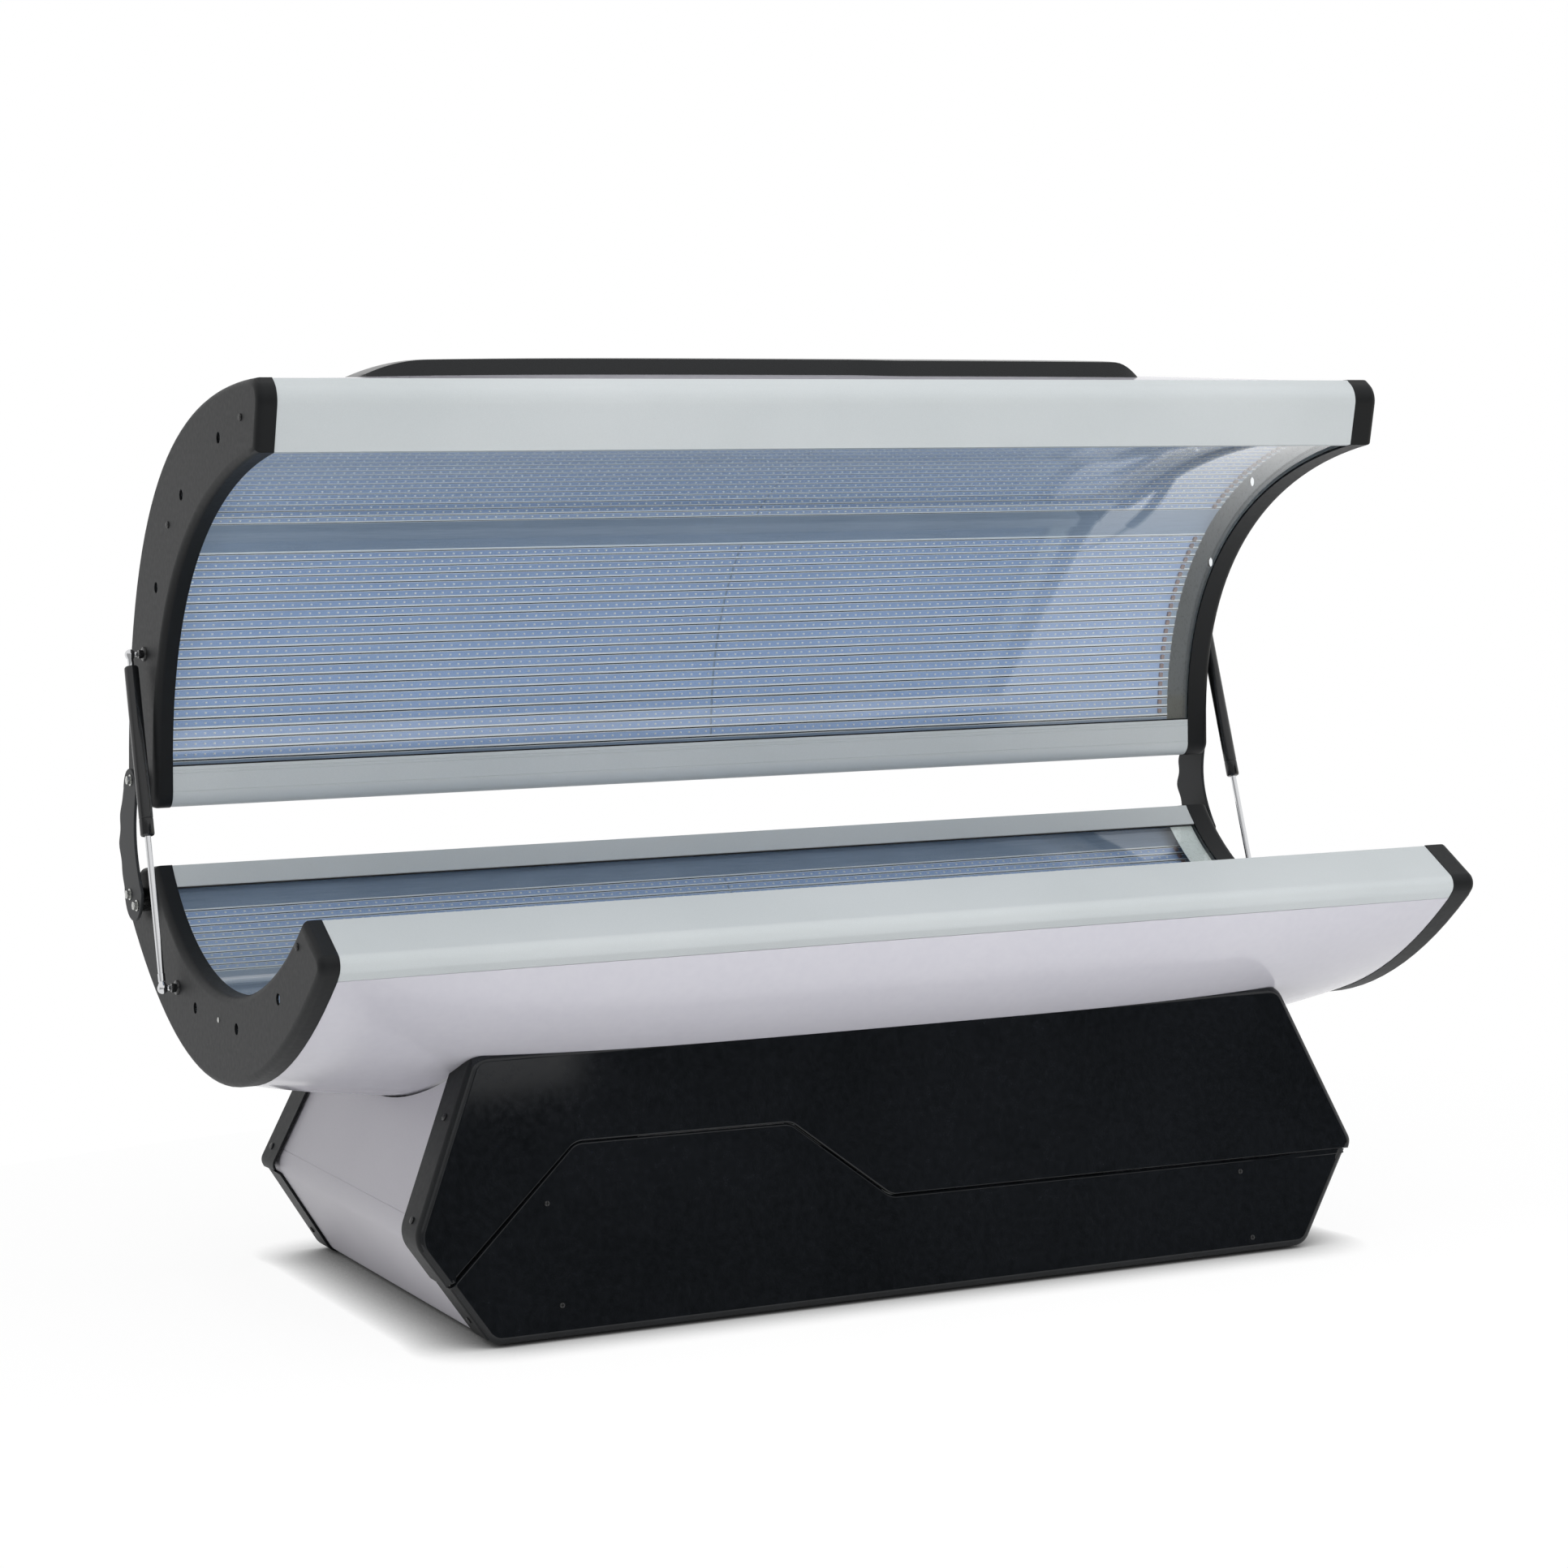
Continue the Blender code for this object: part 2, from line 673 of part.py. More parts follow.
def cover(outline, seam, radii, recess):
    """A dished cover: a leaning front, a deep return on its outer edges and a short one on the seam."""
    marks = []
    for index in range(len(outline)):
        stops = 5 if radii.get(index, 0.0) > 0 else 1
        marks += [index in seam] * stops
    path = rounded(outline, radii, closed=True)
    bm = bmesh.new()

    def front(z):
        return -BASE_DEPTH / 2 + BASE_LEAN * z + recess

    verts = [bm.verts.new((p.x, front(p.y), p.y)) for p in path]
    face = bm.faces.new(verts)
    weight = bm.edges.layers.float.new("bevel_weight_edge")
    on_seam = {vert: mark for vert, mark in zip(verts, marks)}
    rim = list(face.edges)
    for edge in rim:
        edge[weight] = SEAM_ROUND / COVER_ROUND if any(on_seam[v] for v in edge.verts) else 1.0
    made = bmesh.ops.extrude_edge_only(bm, edges=rim)
    seam_spots = {(round(v.co.x, 6), round(v.co.z, 6)) for v in verts if on_seam[v]}
    for vert in (g for g in made["geom"] if isinstance(g, bmesh.types.BMVert)):
        deep = (round(vert.co.x, 6), round(vert.co.z, 6)) not in seam_spots
        vert.co.y += FLANGE - recess if deep else SEAM_RETURN
    bmesh.ops.recalc_face_normals(bm, faces=bm.faces)
    if face.normal.y > 0:
        bmesh.ops.reverse_faces(bm, faces=bm.faces)
    return bm


def dished(name, bm, turn):
    obj = add(name, bm, BLACK_GLOSS)
    obj.rotation_euler.z = turn
    soft = obj.modifiers.new("edges", "BEVEL")
    soft.limit_method = "WEIGHT"
    soft.width = COVER_ROUND
    soft.segments = 2
    soft.use_clamp_overlap = False
    thicken(obj, COVER_WALL, even=False)
    return obj


def on_left(z, tuck=0.0):
    return (tuck - hexagon_x(z), z)


def on_right(z, tuck=0.0):
    return (hexagon_x(z) - tuck, z)


upper_outline = points(
    on_left(SEAM_LEFT_Z),
    *SEAM_LINE,
    on_right(SEAM_RIGHT_Z),
    on_right(BASE_KNEE_Z),
    on_right(BASE_TOP_Z),
    on_left(BASE_TOP_Z),
    on_left(BASE_KNEE_Z),
    on_left(SEAM_LEFT_Z + SEAM_RETURN),
)
UPPER_SEAM = {0, 1, 2, 3, 4}
UPPER_RADII = {1: SEAM_RADIUS, 2: SEAM_RADIUS, 3: SEAM_RADIUS, 6: CORNER_RADIUS, 7: CORNER_RADIUS, 8: KNEE_RADIUS}
tuck = SERVICE_STEP
lower_outline = points(
    on_left(SEAM_LEFT_Z - SEAM, tuck),
    on_left(SEAM_LEFT_Z - SEAM - SEAM_RETURN, tuck),
    on_left(BASE_CLEAR, tuck),
    on_right(BASE_CLEAR, tuck),
    on_right(SEAM_RIGHT_Z - SEAM - SEAM_RETURN, tuck),
    on_right(SEAM_RIGHT_Z - SEAM, tuck),
    *[(x, z - SEAM) for x, z in SEAM_LINE[::-1]],
)
LOWER_SEAM = {0, 5, 6, 7, 8}
LOWER_RADII = {2: CORNER_RADIUS, 3: CORNER_RADIUS, 6: SEAM_RADIUS, 7: SEAM_RADIUS, 8: SEAM_RADIUS}

for where, turn in (("front", 0.0), ("rear", math.pi)):
    upper = dished(f"base_{where}_cover", cover(upper_outline, UPPER_SEAM, UPPER_RADII, 0.0), turn)
    combine(upper, belly_trim, "DIFFERENCE")
    dished(f"base_{where}_service_cover", cover(lower_outline, LOWER_SEAM, LOWER_RADII, tuck), turn)


def end_sheet(name, side):
    """The bent white sheet between the covers, under their returns, trimmed to the belly."""
    outline = rounded(
        points(
            (CORNER_RADIUS - BASE_FOOT_HALF, BASE_CLEAR),
            on_left(BASE_CLEAR),
            on_left(BASE_KNEE_Z),
            on_left(BASE_TOP_Z - CORNER_RADIUS),
        ),
        {1: CORNER_RADIUS, 2: KNEE_RADIUS},
    )
    path = cut_ends(offset(outline, -(COVER_WALL + SERVICE_STEP + SHEET_SEAT)), CORNER_RADIUS / 3, 0.0)
    bm = bmesh.new()
    steps = len(path) - 1
    bmesh.ops.create_grid(bm, x_segments=1, y_segments=steps, size=0.5)
    for vert in bm.verts:
        p = path[round((vert.co.y + 0.5) * steps)]
        reach = BASE_DEPTH / 2 - BASE_LEAN * p.y - FLANGE / 2
        vert.co = (-side * p.x, -reach if vert.co.x < 0 else reach, p.y)
    bmesh.ops.recalc_face_normals(bm, faces=bm.faces)
    bm.normal_update()
    if sum(face.normal.x for face in bm.faces) * side < 0:
        bmesh.ops.reverse_faces(bm, faces=bm.faces)
    obj = add(name, bm, WHITE_PAINT)
    thicken(obj, PANEL_WALL)
    combine(obj, belly_trim, "DIFFERENCE")


for side_name, side in SIDES:
    end_sheet(f"base_{side_name}_panel", side)


# Frame, cradles, feet and electrics

half = TUBE / 2
beam_z = FRAME_Z + half
frame = add(
    "base_frame",
    block(
        (-FRAME_HALF_LENGTH, -FRAME_HALF_DEPTH - half, FRAME_Z),
        (FRAME_HALF_LENGTH, -FRAME_HALF_DEPTH + half, FRAME_Z + TUBE),
    ),
    FRAME_PAINT,
)
beams = [
    (
        (-FRAME_HALF_LENGTH, FRAME_HALF_DEPTH - half, FRAME_Z),
        (FRAME_HALF_LENGTH, FRAME_HALF_DEPTH + half, FRAME_Z + TUBE),
    )
]
for x in (-FOOT_X, -UPRIGHT_X, UPRIGHT_X, FOOT_X):
    beams.append(((x - half, -FRAME_HALF_DEPTH, FRAME_Z + GAP), (x + half, FRAME_HALF_DEPTH, FRAME_Z + TUBE - GAP)))
for x in (-UPRIGHT_X, UPRIGHT_X):
    inset = half - GAP
    for y in (-UPRIGHT_Y, UPRIGHT_Y):
        beams.append(((x - inset, y - half, beam_z), (x + inset, y + half, SADDLE_Z - half)))
    beams.append(((x - half, -CRADLE_HALF, SADDLE_Z - TUBE), (x + half, CRADLE_HALF, SADDLE_Z)))
for index, (low, high) in enumerate(beams):
    combine(frame, add(f"frame_beam_{index}", block(low, high)), "UNION")

for side_name, side in SIDES:
    x = side * UPRIGHT_X
    low = (x - CRADLE_THICK / 2, -CRADLE_HALF, SADDLE_Z + GAP)
    cradle = add(f"base_{side_name}_cradle", block(low, (x + CRADLE_THICK / 2, CRADLE_HALF, CRADLE_TOP)), FRAME_PAINT)
    combine(cradle, belly_trim, "DIFFERENCE")
    for where, y in (("front", -FOOT_Y), ("rear", FOOT_Y)):
        stem = FOOT_DIA / 4
        turned(
            f"foot_{where}_{side_name}",
            (
                (0.0, FRAME_Z),
                (stem, FRAME_Z),
                (stem, FRAME_Z / 2),
                (FOOT_DIA / 2, FRAME_Z / 3),
                (FOOT_DIA / 2, 0.0),
                (0.0, 0.0),
            ),
            RUBBER,
            root,
            (side * FOOT_X, y, 0.0),
            (0.0, 0.0, 1.0),
            10,
        )

tray_z = FRAME_Z + TUBE + GAP
add(
    "base_equipment_tray",
    block(
        (-UPRIGHT_X - half, -TRAY_HALF_DEPTH, tray_z),
        (UPRIGHT_X + half, TRAY_HALF_DEPTH, tray_z + TRAY_PLATE),
    ),
    SUPPLY_CASE,
)
stack = tray_z + TRAY_PLATE + GAP
for name, x, size in (
    ("power_supply_left", -SUPPLY_X, SUPPLY_SIZE),
    ("power_supply_right", SUPPLY_X, SUPPLY_SIZE),
    ("control_unit", 0.0, CONTROL_SIZE),
):
    add(
        name,
        block((x - size[0] / 2, -size[1] / 2, stack), (x + size[0] / 2, size[1] / 2, stack + size[2])),
        SUPPLY_CASE,
    )


# Hinge arms with their bolts and spacers

face_x = BED_LENGTH / 2


def arm_outline():
    """Rounded at both ends, hollowed in front, bowed and waved behind."""
    top, end = Vector(ARM_TOP), Vector(ARM_END)
    outline = []
    for step in range(9):
        angle = math.pi * step / 8
        outline.append(top + ARM_TOP_RADIUS * Vector((math.cos(angle), math.sin(angle))))
    front = curve(
        (
            outline[-1],
            outline[-1] + Vector(ARM_TOP_PULL),
            end + Vector(ARM_END_PULL),
            end + Vector((-ARM_END_RADIUS, 0.0)),
        ),
        8,
    )
    outline += front[1:]
    for step in range(1, 9):
        angle = math.pi + math.pi * step / 8
        outline.append(end + ARM_END_RADIUS * Vector((math.cos(angle), math.sin(angle))))
    low, high = outline[-1], outline[0]
    for step in range(1, 16):
        share = step / 16
        bow = ARM_BOW * math.sin(math.pi * share)
        wave = ARM_WAVE * math.sin(math.pi * share) * math.sin(6 * math.pi * share)
        outline.append(low + (high - low) * share + Vector((bow + wave, 0.0)))
    return outline


def across(side, near, far):
    """X limits of something between two distances off a cap face."""
    return sorted((side * (face_x + near), side * (face_x + far)))


def bolt(name, centre, side, parent, material, through):
    """A hexagon bolt and its washer, from the head outside an arm to inside a cap."""
    seat = ARM_OFF + ARM_THICK + GAP
    obj = add(name, pin(centre, *across(side, -BOLT_REACH, seat + WASHER_THICK), BOLT_DIA, 12), material, parent)
    top = seat + WASHER_THICK / 2
    head = pin(centre, *across(side, top, top + BOLT_HEAD), BOLT_HEAD_DIA, 6)
    washer = pin(centre, *across(side, seat, seat + WASHER_THICK), BOLT_HEAD_DIA * 1.25, 14)
    for label, bm in (("head", head), ("washer", washer)):
        combine(obj, add(f"{name}_{label}", bm, None, parent), "UNION")
    for piece in through:
        drill(piece, f"{name}_in_{piece.name}", centre, side, BOLT_DIA + 2 * HOLE_PLAY)


def spacer(name, centre, side, parent):
    low, high = across(side, GAP, ARM_OFF - GAP)
    obj = add(name, pin(centre, low, high, SPACER_DIA, 12), ZINC, parent)
    bore = pin(centre, low - 0.002, high + 0.002, BOLT_DIA + 2 * HOLE_PLAY, 12)
    combine(obj, add(name + "_bore", bore, None, parent), "DIFFERENCE")


for side_name, side in SIDES:
    low, high = across(side, ARM_OFF, ARM_OFF + ARM_THICK)
    arm = add(f"{side_name}_hinge_arm", prism(arm_outline(), low, high), DARK_STEEL)
    bolt(f"{side_name}_pivot_bolt", PIVOT, side, hinge, CHROME, (arm, caps["canopy", side]))
    spacer(f"{side_name}_pivot_spacer", PIVOT, side, hinge)
    for index, centre in enumerate(ARM_BOLTS):
        bolt(f"{side_name}_arm_bolt_{index + 1}", centre, side, root, CHROME, (arm, caps["lower", side]))
        spacer(f"{side_name}_arm_spacer_{index + 1}", centre, side, root)


# Gas struts


def ball_stud(name, centre, side, parent, piece):
    """A flanged stud with a ball at its free end, threaded through a cap."""
    ball = BALL_DIA / 2
    neck = STUD_NECK_DIA / 2
    reach = math.sqrt(ball**2 - neck**2)
    profile = [(0.0, STRUT_OFF + ball)]
    for step in range(1, 5):
        angle = (math.pi / 2 + math.asin(reach / ball)) * step / 4
        profile.append((ball * math.sin(angle), STRUT_OFF + ball * math.cos(angle)))
    profile += [
        (neck, 0.008),
        (STUD_FLANGE_DIA / 3, 0.007),
        (STUD_FLANGE_DIA / 3, 0.003),
        (STUD_FLANGE_DIA / 2, 0.003),
        (STUD_FLANGE_DIA / 2, GAP),
        (BOLT_DIA / 2, GAP),
        (BOLT_DIA / 2, -BOLT_REACH),
        (0.0, -BOLT_REACH),
    ]
    turned(name, profile, CHROME, parent, (side * face_x, *centre), (side, 0.0, 0.0), 10)
    drill(piece, f"{name}_in_{piece.name}", centre, side, BOLT_DIA + 2 * HOLE_PLAY)


def socket(name, centre, side, parent):
    """A cup that holds the ball, open towards the cap."""
    outer, inner = SOCKET_DIA / 2, BALL_DIA / 2 + SOCKET_PLAY
    mouth = math.radians(122)
    profile = []
    for step in range(6):
        angle = mouth * step / 5
        profile.append((outer * math.sin(angle), outer * math.cos(angle)))
    for step in range(5, -1, -1):
        angle = mouth * step / 5
        profile.append((inner * math.sin(angle), inner * math.cos(angle)))
    place = (side * (face_x + STRUT_OFF), *centre)
    return turned(name, profile, None, parent, place, (side, 0.0, 0.0), 10)


strut_line = Vector(STRUT_LOWER) - Vector(STRUT_UPPER)
strut_length = strut_line.length
strut_way = strut_line.normalized()
grip = (SOCKET_DIA + BALL_DIA + 2 * SOCKET_PLAY) / 4
neck = STUD_NECK
for side_name, side in SIDES:
    x = side * (face_x + STRUT_OFF)
    ball_stud(f"{side_name}_upper_ball_stud", STRUT_UPPER, side, hinge, caps["canopy", side])
    ball_stud(f"{side_name}_lower_ball_stud", STRUT_LOWER, side, root, caps["lower", side])
    tube, bore = CYLINDER_DIA / 2, CYLINDER_BORE / 2
    end = neck + CYLINDER_LENGTH
    cylinder = turned(
        f"{side_name}_strut_cylinder",
        (
            (0.0, end - CYLINDER_LENGTH * 0.93),
            (bore, end - CYLINDER_LENGTH * 0.93),
            (bore, end),
            (tube - 0.0008, end),
            (tube, end - 0.001),
            (tube, neck + 0.002),
            (ROD_DIA / 2, neck),
            (ROD_DIA / 2, grip),
            (0.0, grip),
        )[::-1],
        DARK_STEEL,
        hinge,
        (x, *STRUT_UPPER),
        (0.0, -strut_way.x, -strut_way.y),
    )
    for vert in cylinder.data.vertices:
        vert.co.z = -vert.co.z
    combine(cylinder, socket(f"{side_name}_upper_socket", STRUT_UPPER, side, hinge), "UNION")
    rod_top = strut_length - end + ROD_ENGAGED
    rod = turned(
        f"{side_name}_strut_rod",
        (
            (0.0, rod_top),
            (ROD_DIA / 2 - 0.001, rod_top),
            (ROD_DIA / 2, rod_top - 0.001),
            (ROD_DIA / 2, grip),
            (0.0, grip),
        ),
        CHROME,
        root,
        (x, *STRUT_LOWER),
        (0.0, -strut_way.x, -strut_way.y),
    )
    combine(rod, socket(f"{side_name}_lower_socket", STRUT_LOWER, side, root), "UNION")
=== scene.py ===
# %% [markdown]
# # LED light therapy bed
# A canopy lined with LED rows is hinged over a matching lower tub, and a base of black covers and white
# end sheets carries both. The solid model already fixes every place and size. This lesson dresses it:
# each visible solid is modelled again with smooth curves, fine edges and a real finish.

# %% Load the frame
import math
from contextlib import contextmanager

import bmesh
import bpy
from mathutils import Matrix, Vector


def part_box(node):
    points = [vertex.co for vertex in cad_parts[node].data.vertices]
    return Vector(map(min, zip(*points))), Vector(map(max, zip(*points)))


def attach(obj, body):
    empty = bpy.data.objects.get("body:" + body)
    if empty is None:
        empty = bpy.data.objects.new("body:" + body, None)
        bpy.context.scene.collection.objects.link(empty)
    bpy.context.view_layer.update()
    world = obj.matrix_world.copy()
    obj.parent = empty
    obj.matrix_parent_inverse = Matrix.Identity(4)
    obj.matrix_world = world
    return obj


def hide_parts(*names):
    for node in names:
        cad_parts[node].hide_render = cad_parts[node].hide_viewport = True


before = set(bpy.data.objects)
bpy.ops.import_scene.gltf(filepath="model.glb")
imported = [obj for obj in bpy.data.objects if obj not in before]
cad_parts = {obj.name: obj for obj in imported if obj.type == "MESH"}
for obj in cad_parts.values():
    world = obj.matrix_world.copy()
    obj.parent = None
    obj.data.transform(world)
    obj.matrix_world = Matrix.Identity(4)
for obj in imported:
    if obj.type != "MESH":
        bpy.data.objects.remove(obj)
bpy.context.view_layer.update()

bpy.context.scene.view_settings.view_transform = "Standard"

# Profiles below are (y, z) points from the middle of the base.
# The pivot bolt tells how far back that middle lies.
PIVOT = (0.416, 0.788)
bolt_low, bolt_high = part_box("left_pivot_bolt")
SETBACK = PIVOT[0] - (bolt_low.y + bolt_high.y) / 2

# %% [markdown]
# ## Camera
# The photograph was taken from the front left with a long lens, level with the canopy, and cropped low.
# A long lens is set by its focal length, and a low crop by the vertical shift, so upright lines stay
# upright. The figures come from matching corners of the bed to their places in the picture.

# %% Camera
EYE = Vector((-2.6675, -5.507 - SETBACK, 1.3145))
YAW, PITCH, ROLL = (math.radians(a) for a in (27.28, 0.50, -0.43))
LENS = 84.92
SHIFT = (-0.0721, -0.2332)

forward = Vector((math.sin(YAW) * math.cos(PITCH), math.cos(YAW) * math.cos(PITCH), math.sin(PITCH)))
level = Vector((math.cos(YAW), -math.sin(YAW), 0.0))
right = level * math.cos(ROLL) + level.cross(forward) * math.sin(ROLL)
up = right.cross(forward)
lens = bpy.data.cameras.new("camera")
lens.sensor_width = 36.0
lens.lens = LENS
lens.shift_x, lens.shift_y = SHIFT
camera = bpy.data.objects.new("camera", lens)
camera.matrix_world = Matrix((right, up, -forward)).transposed().to_4x4()
camera.location = EYE
bpy.context.scene.collection.objects.link(camera)
bpy.context.scene.camera = camera
print("camera looks along", [round(v, 3) for v in forward])

# %% [markdown]
# ## Finishes
# Every finish is a small node tree. One function adds a node with its settings and links, and another
# turns the hex colours that a colour picker shows into the linear values that light works in. Patterns
# read Object coordinates: the pieces sit unmoved at the origin, so one unit there is one metre.

# %% Node helpers


def srgb(code):
    """The linear colour of a hex code."""
    shares = [int(code[i : i + 2], 16) / 255 for i in (1, 3, 5)]
    return (*[c / 12.92 if c <= 0.04045 else ((c + 0.055) / 1.055) ** 2.4 for c in shares], 1.0)


def node(tree, kind, inputs=(), **settings):
    """Adds a node: settings are its properties, inputs its socket values or links."""
    made = tree.nodes.new(kind)
    for key, value in settings.items():
        setattr(made, key, value)
    for key, value in dict(inputs).items():
        if isinstance(value, bpy.types.NodeSocket):
            tree.links.new(value, made.inputs[key])
        else:
            made.inputs[key].default_value = value
    return made


def finish(name, dark, light, rough, grain, peel=0.0, metallic=0.0, stretch=(1, 1, 1), ior=1.5):
    """A surface whose colour and roughness wander a little, with a fine relief of the given depth."""
    material = bpy.data.materials.new(name)
    material.use_nodes = True
    tree = material.node_tree
    shader = tree.nodes["Principled BSDF"]
    shader.inputs["Metallic"].default_value = metallic
    shader.inputs["IOR"].default_value = ior
    place = node(tree, "ShaderNodeTexCoord")
    object_place = place.outputs["Object"]
    wide = node(tree, "ShaderNodeTexNoise", {"Vector": object_place, "Scale": 3.0, "Detail": 3.0})
    run = node(tree, "ShaderNodeMapping", {"Vector": object_place, "Scale": stretch}).outputs["Vector"]
    fine = node(tree, "ShaderNodeTexNoise", {"Vector": run, "Scale": grain, "Detail": 2.0})
    both = {0: wide.outputs["Fac"], 1: fine.outputs["Fac"]}
    blend = node(tree, "ShaderNodeMath", both, operation="ADD").outputs["Value"]
    share = node(
        tree,
        "ShaderNodeMapRange",
        {"Value": blend, "From Min": 0.7, "From Max": 1.3, "To Min": 0.0, "To Max": 1.0},
    )
    colour = node(
        tree,
        "ShaderNodeMix",
        {"Factor": share.outputs["Result"], 6: srgb(dark), 7: srgb(light)},
        data_type="RGBA",
    )
    low, high = rough
    polish = node(
        tree,
        "ShaderNodeMapRange",
        {"Value": fine.outputs["Fac"], "From Min": 0.3, "From Max": 0.7, "To Min": low, "To Max": high},
    )
    tree.links.new(colour.outputs[2], shader.inputs["Base Color"])
    tree.links.new(polish.outputs["Result"], shader.inputs["Roughness"])
    if peel:
        height = {"Height": fine.outputs["Fac"], "Strength": 1.0, "Distance": peel}
        relief = node(tree, "ShaderNodeBump", height)
        tree.links.new(relief.outputs["Normal"], shader.inputs["Normal"])
    return material


# %% [markdown]
# The bed shows few finishes. The front covers and the shells are black and white ABS with a polished
# skin, whose only flaw is a faint orange peel. The caps and the covers' side returns are seen almost
# edge-on, where polish would mirror the white studio, so they get a matt skin. The rails are anodised
# aluminium with a fine satin grain, the arms are powder coated, and the struts carry chrome. Grain finer
# than a pixel is drawn coarser than life.

# %% Finishes
# Piano black moulding: almost no colour of its own, it shows the studio as a dark mirror.
BLACK_GLOSS = finish(
    "black_gloss_abs", "#0f1113", "#17191c", (0.03, 0.06), 90.0, 0.000002, ior=1.40
)
# The same resin with a matt skin, for caps and returns: edge-on it dims the white studio to dark grey.
BLACK_MATT = finish("black_matt_abs", "#0c0e10", "#111315", (0.50, 0.56), 120.0, ior=1.34)
# The same resin with a light texture, so the studio blurs to a soft sheen.
BLACK_SATIN = finish("black_satin_abs", "#0f1113", "#141618", (0.26, 0.32), 120.0, ior=1.40)
# Glossy white moulding with the cool, slightly violet tone of the photograph.
WHITE_GLOSS = finish("white_gloss_abs", "#c8c7d0", "#cccbd3", (0.10, 0.16), 70.0, 0.000004)
# Painted sheet steel, a little flatter than the mouldings.
WHITE_PAINT = finish("white_painted_sheet", "#c4c2c9", "#cccad0", (0.42, 0.52), 400.0, 0.00002)
# Anodised extrusion: a fine grain that breaks the highlight into a pearly band.
SATIN_ALUMINIUM = finish("satin_aluminium", "#bcc2c4", "#c6cbcd", (0.40, 0.48), 900.0, 0.00001, 0.12)
# Bent tray sheet behind the lamps, bluish under the boards.
# Grain drawn out along the bed, as rolled sheet has it.
ALONG_BED, ALONG_BOARD = (0.05, 1, 1), (0.2, 1, 1)
LAMP_TRAY = finish("lamp_tray_aluminium", "#90a0b5", "#a1b0c4", (0.30, 0.40), 300.0, 0.0, 0.2, ALONG_BED)
# LED boards with a blue coating.
LED_BOARD = finish("led_board_lacquer", "#9db3d8", "#a9bde0", (0.35, 0.45), 200.0, 0.0, 0.0, ALONG_BOARD)
# Pale dividers between the boards, whose near white is partly a painted highlight of their lit tops,
# and a black strip of painted shadow in the slot that each leaves below it.
PALE_RIB_PAINTED_HIGHLIGHT = finish("pale_divider_painted_highlight", "#f6f6f4", "#fbfbfa", (0.30, 0.38), 300.0, 0.0, 0.0, ALONG_BED)
PAINTED_SLOT_SHADOW = finish("painted_slot_shadow", "#0b0c0e", "#131416", (0.60, 0.75), 300.0, 0.0, 0.0, ALONG_BED)
# The inner sides of the caps are pale, lightened further as a painted reflection of the light they catch.
PALE_LINER_PAINTED_REFLECTION = finish("pale_cap_liner_painted_reflection", "#e6eae4", "#eef1ec", (0.25, 0.35), 160.0)
# The pale resin lenses of the LEDs.
LED_LENS = finish("led_lens_resin", "#e6e8ea", "#f2f2ee", (0.12, 0.20), 900.0)
# Powder coat on the hinge arms, charcoal with a fine tooth.
DARK_STEEL = finish(
    "dark_painted_steel", "#232527", "#2c2e30", (0.52, 0.60), 700.0, 0.00004, ior=1.36
)
# Painted strut tubes, smoother and blacker than the arms.
STRUT_BLACK = finish("black_strut_paint", "#131415", "#1b1c1e", (0.12, 0.18), 300.0)
CHROME = finish("bright_chrome", "#d2d3d5", "#dcdddf", (0.05, 0.09), 400.0, 0.0, 1.0)
ZINC = finish("zinc_steel", "#b4b5b2", "#c6c7c4", (0.24, 0.34), 600.0, 0.00002, 1.0)
RUBBER = finish("black_rubber", "#161616", "#1e1e1e", (0.70, 0.85), 500.0, 0.00005)
FRAME_PAINT = finish("frame_aluminium", "#8e9193", "#9b9ea0", (0.40, 0.50), 500.0, 0.0, 1.0)
CASE = finish("equipment_case", "#a5a8a8", "#b3b6b6", (0.36, 0.46), 350.0, 0.0, 0.8)
BLACK_SCREW = finish("black_oxide_screw", "#101112", "#191a1b", (0.20, 0.30), 800.0)
CONNECTOR = finish("connector_resin", "#8b736f", "#a38b85", (0.40, 0.50), 600.0)
print("finishes", len(bpy.data.materials))

# %% [markdown]
# Clear acrylic needs no refraction here: a thin bent sheet barely shifts what lies behind it. Mixing a
# transparent and a glossy shader by the Fresnel share lets lamplight straight through to the trays and
# still gives the veil of reflections that grows towards the edges. The light isn't bent, so a face seen
# from inside the sheet has to reflect like the outer one, and its index is turned over for that.

# %% Acrylic
ACRYLIC_IOR = 1.49
CLEAR_ACRYLIC = bpy.data.materials.new("clear_acrylic")
CLEAR_ACRYLIC.use_nodes = True
tree = CLEAR_ACRYLIC.node_tree
tree.nodes.remove(tree.nodes["Principled BSDF"])
sheet_place = node(tree, "ShaderNodeTexCoord").outputs["Object"]
haze = node(tree, "ShaderNodeTexNoise", {"Vector": sheet_place, "Scale": 4.0, "Detail": 4.0})
smear = node(
    tree,
    "ShaderNodeMapRange",
    {"Value": haze.outputs["Fac"], "From Min": 0.3, "From Max": 0.7, "To Min": 0.01, "To Max": 0.05},
)
clear = node(tree, "ShaderNodeBsdfTransparent", {"Color": srgb("#fbfdfe")})
sheen = {"Color": srgb("#ffffff"), "Roughness": smear.outputs["Result"]}
gloss = node(tree, "ShaderNodeBsdfGlossy", sheen)
geometry = node(tree, "ShaderNodeNewGeometry")
bend = node(
    tree,
    "ShaderNodeMapRange",
    {"Value": geometry.outputs["Backfacing"], "To Min": ACRYLIC_IOR, "To Max": 1 / ACRYLIC_IOR},
)
fresnel = node(tree, "ShaderNodeFresnel", {"IOR": bend.outputs["Result"]})
sheet_mix = node(
    tree,
    "ShaderNodeMixShader",
    {0: fresnel.outputs["Fac"], 1: clear.outputs["BSDF"], 2: gloss.outputs["BSDF"]},
)
tree.links.new(sheet_mix.outputs["Shader"], tree.nodes["Material Output"].inputs["Surface"])
print("acrylic sheet finish made")

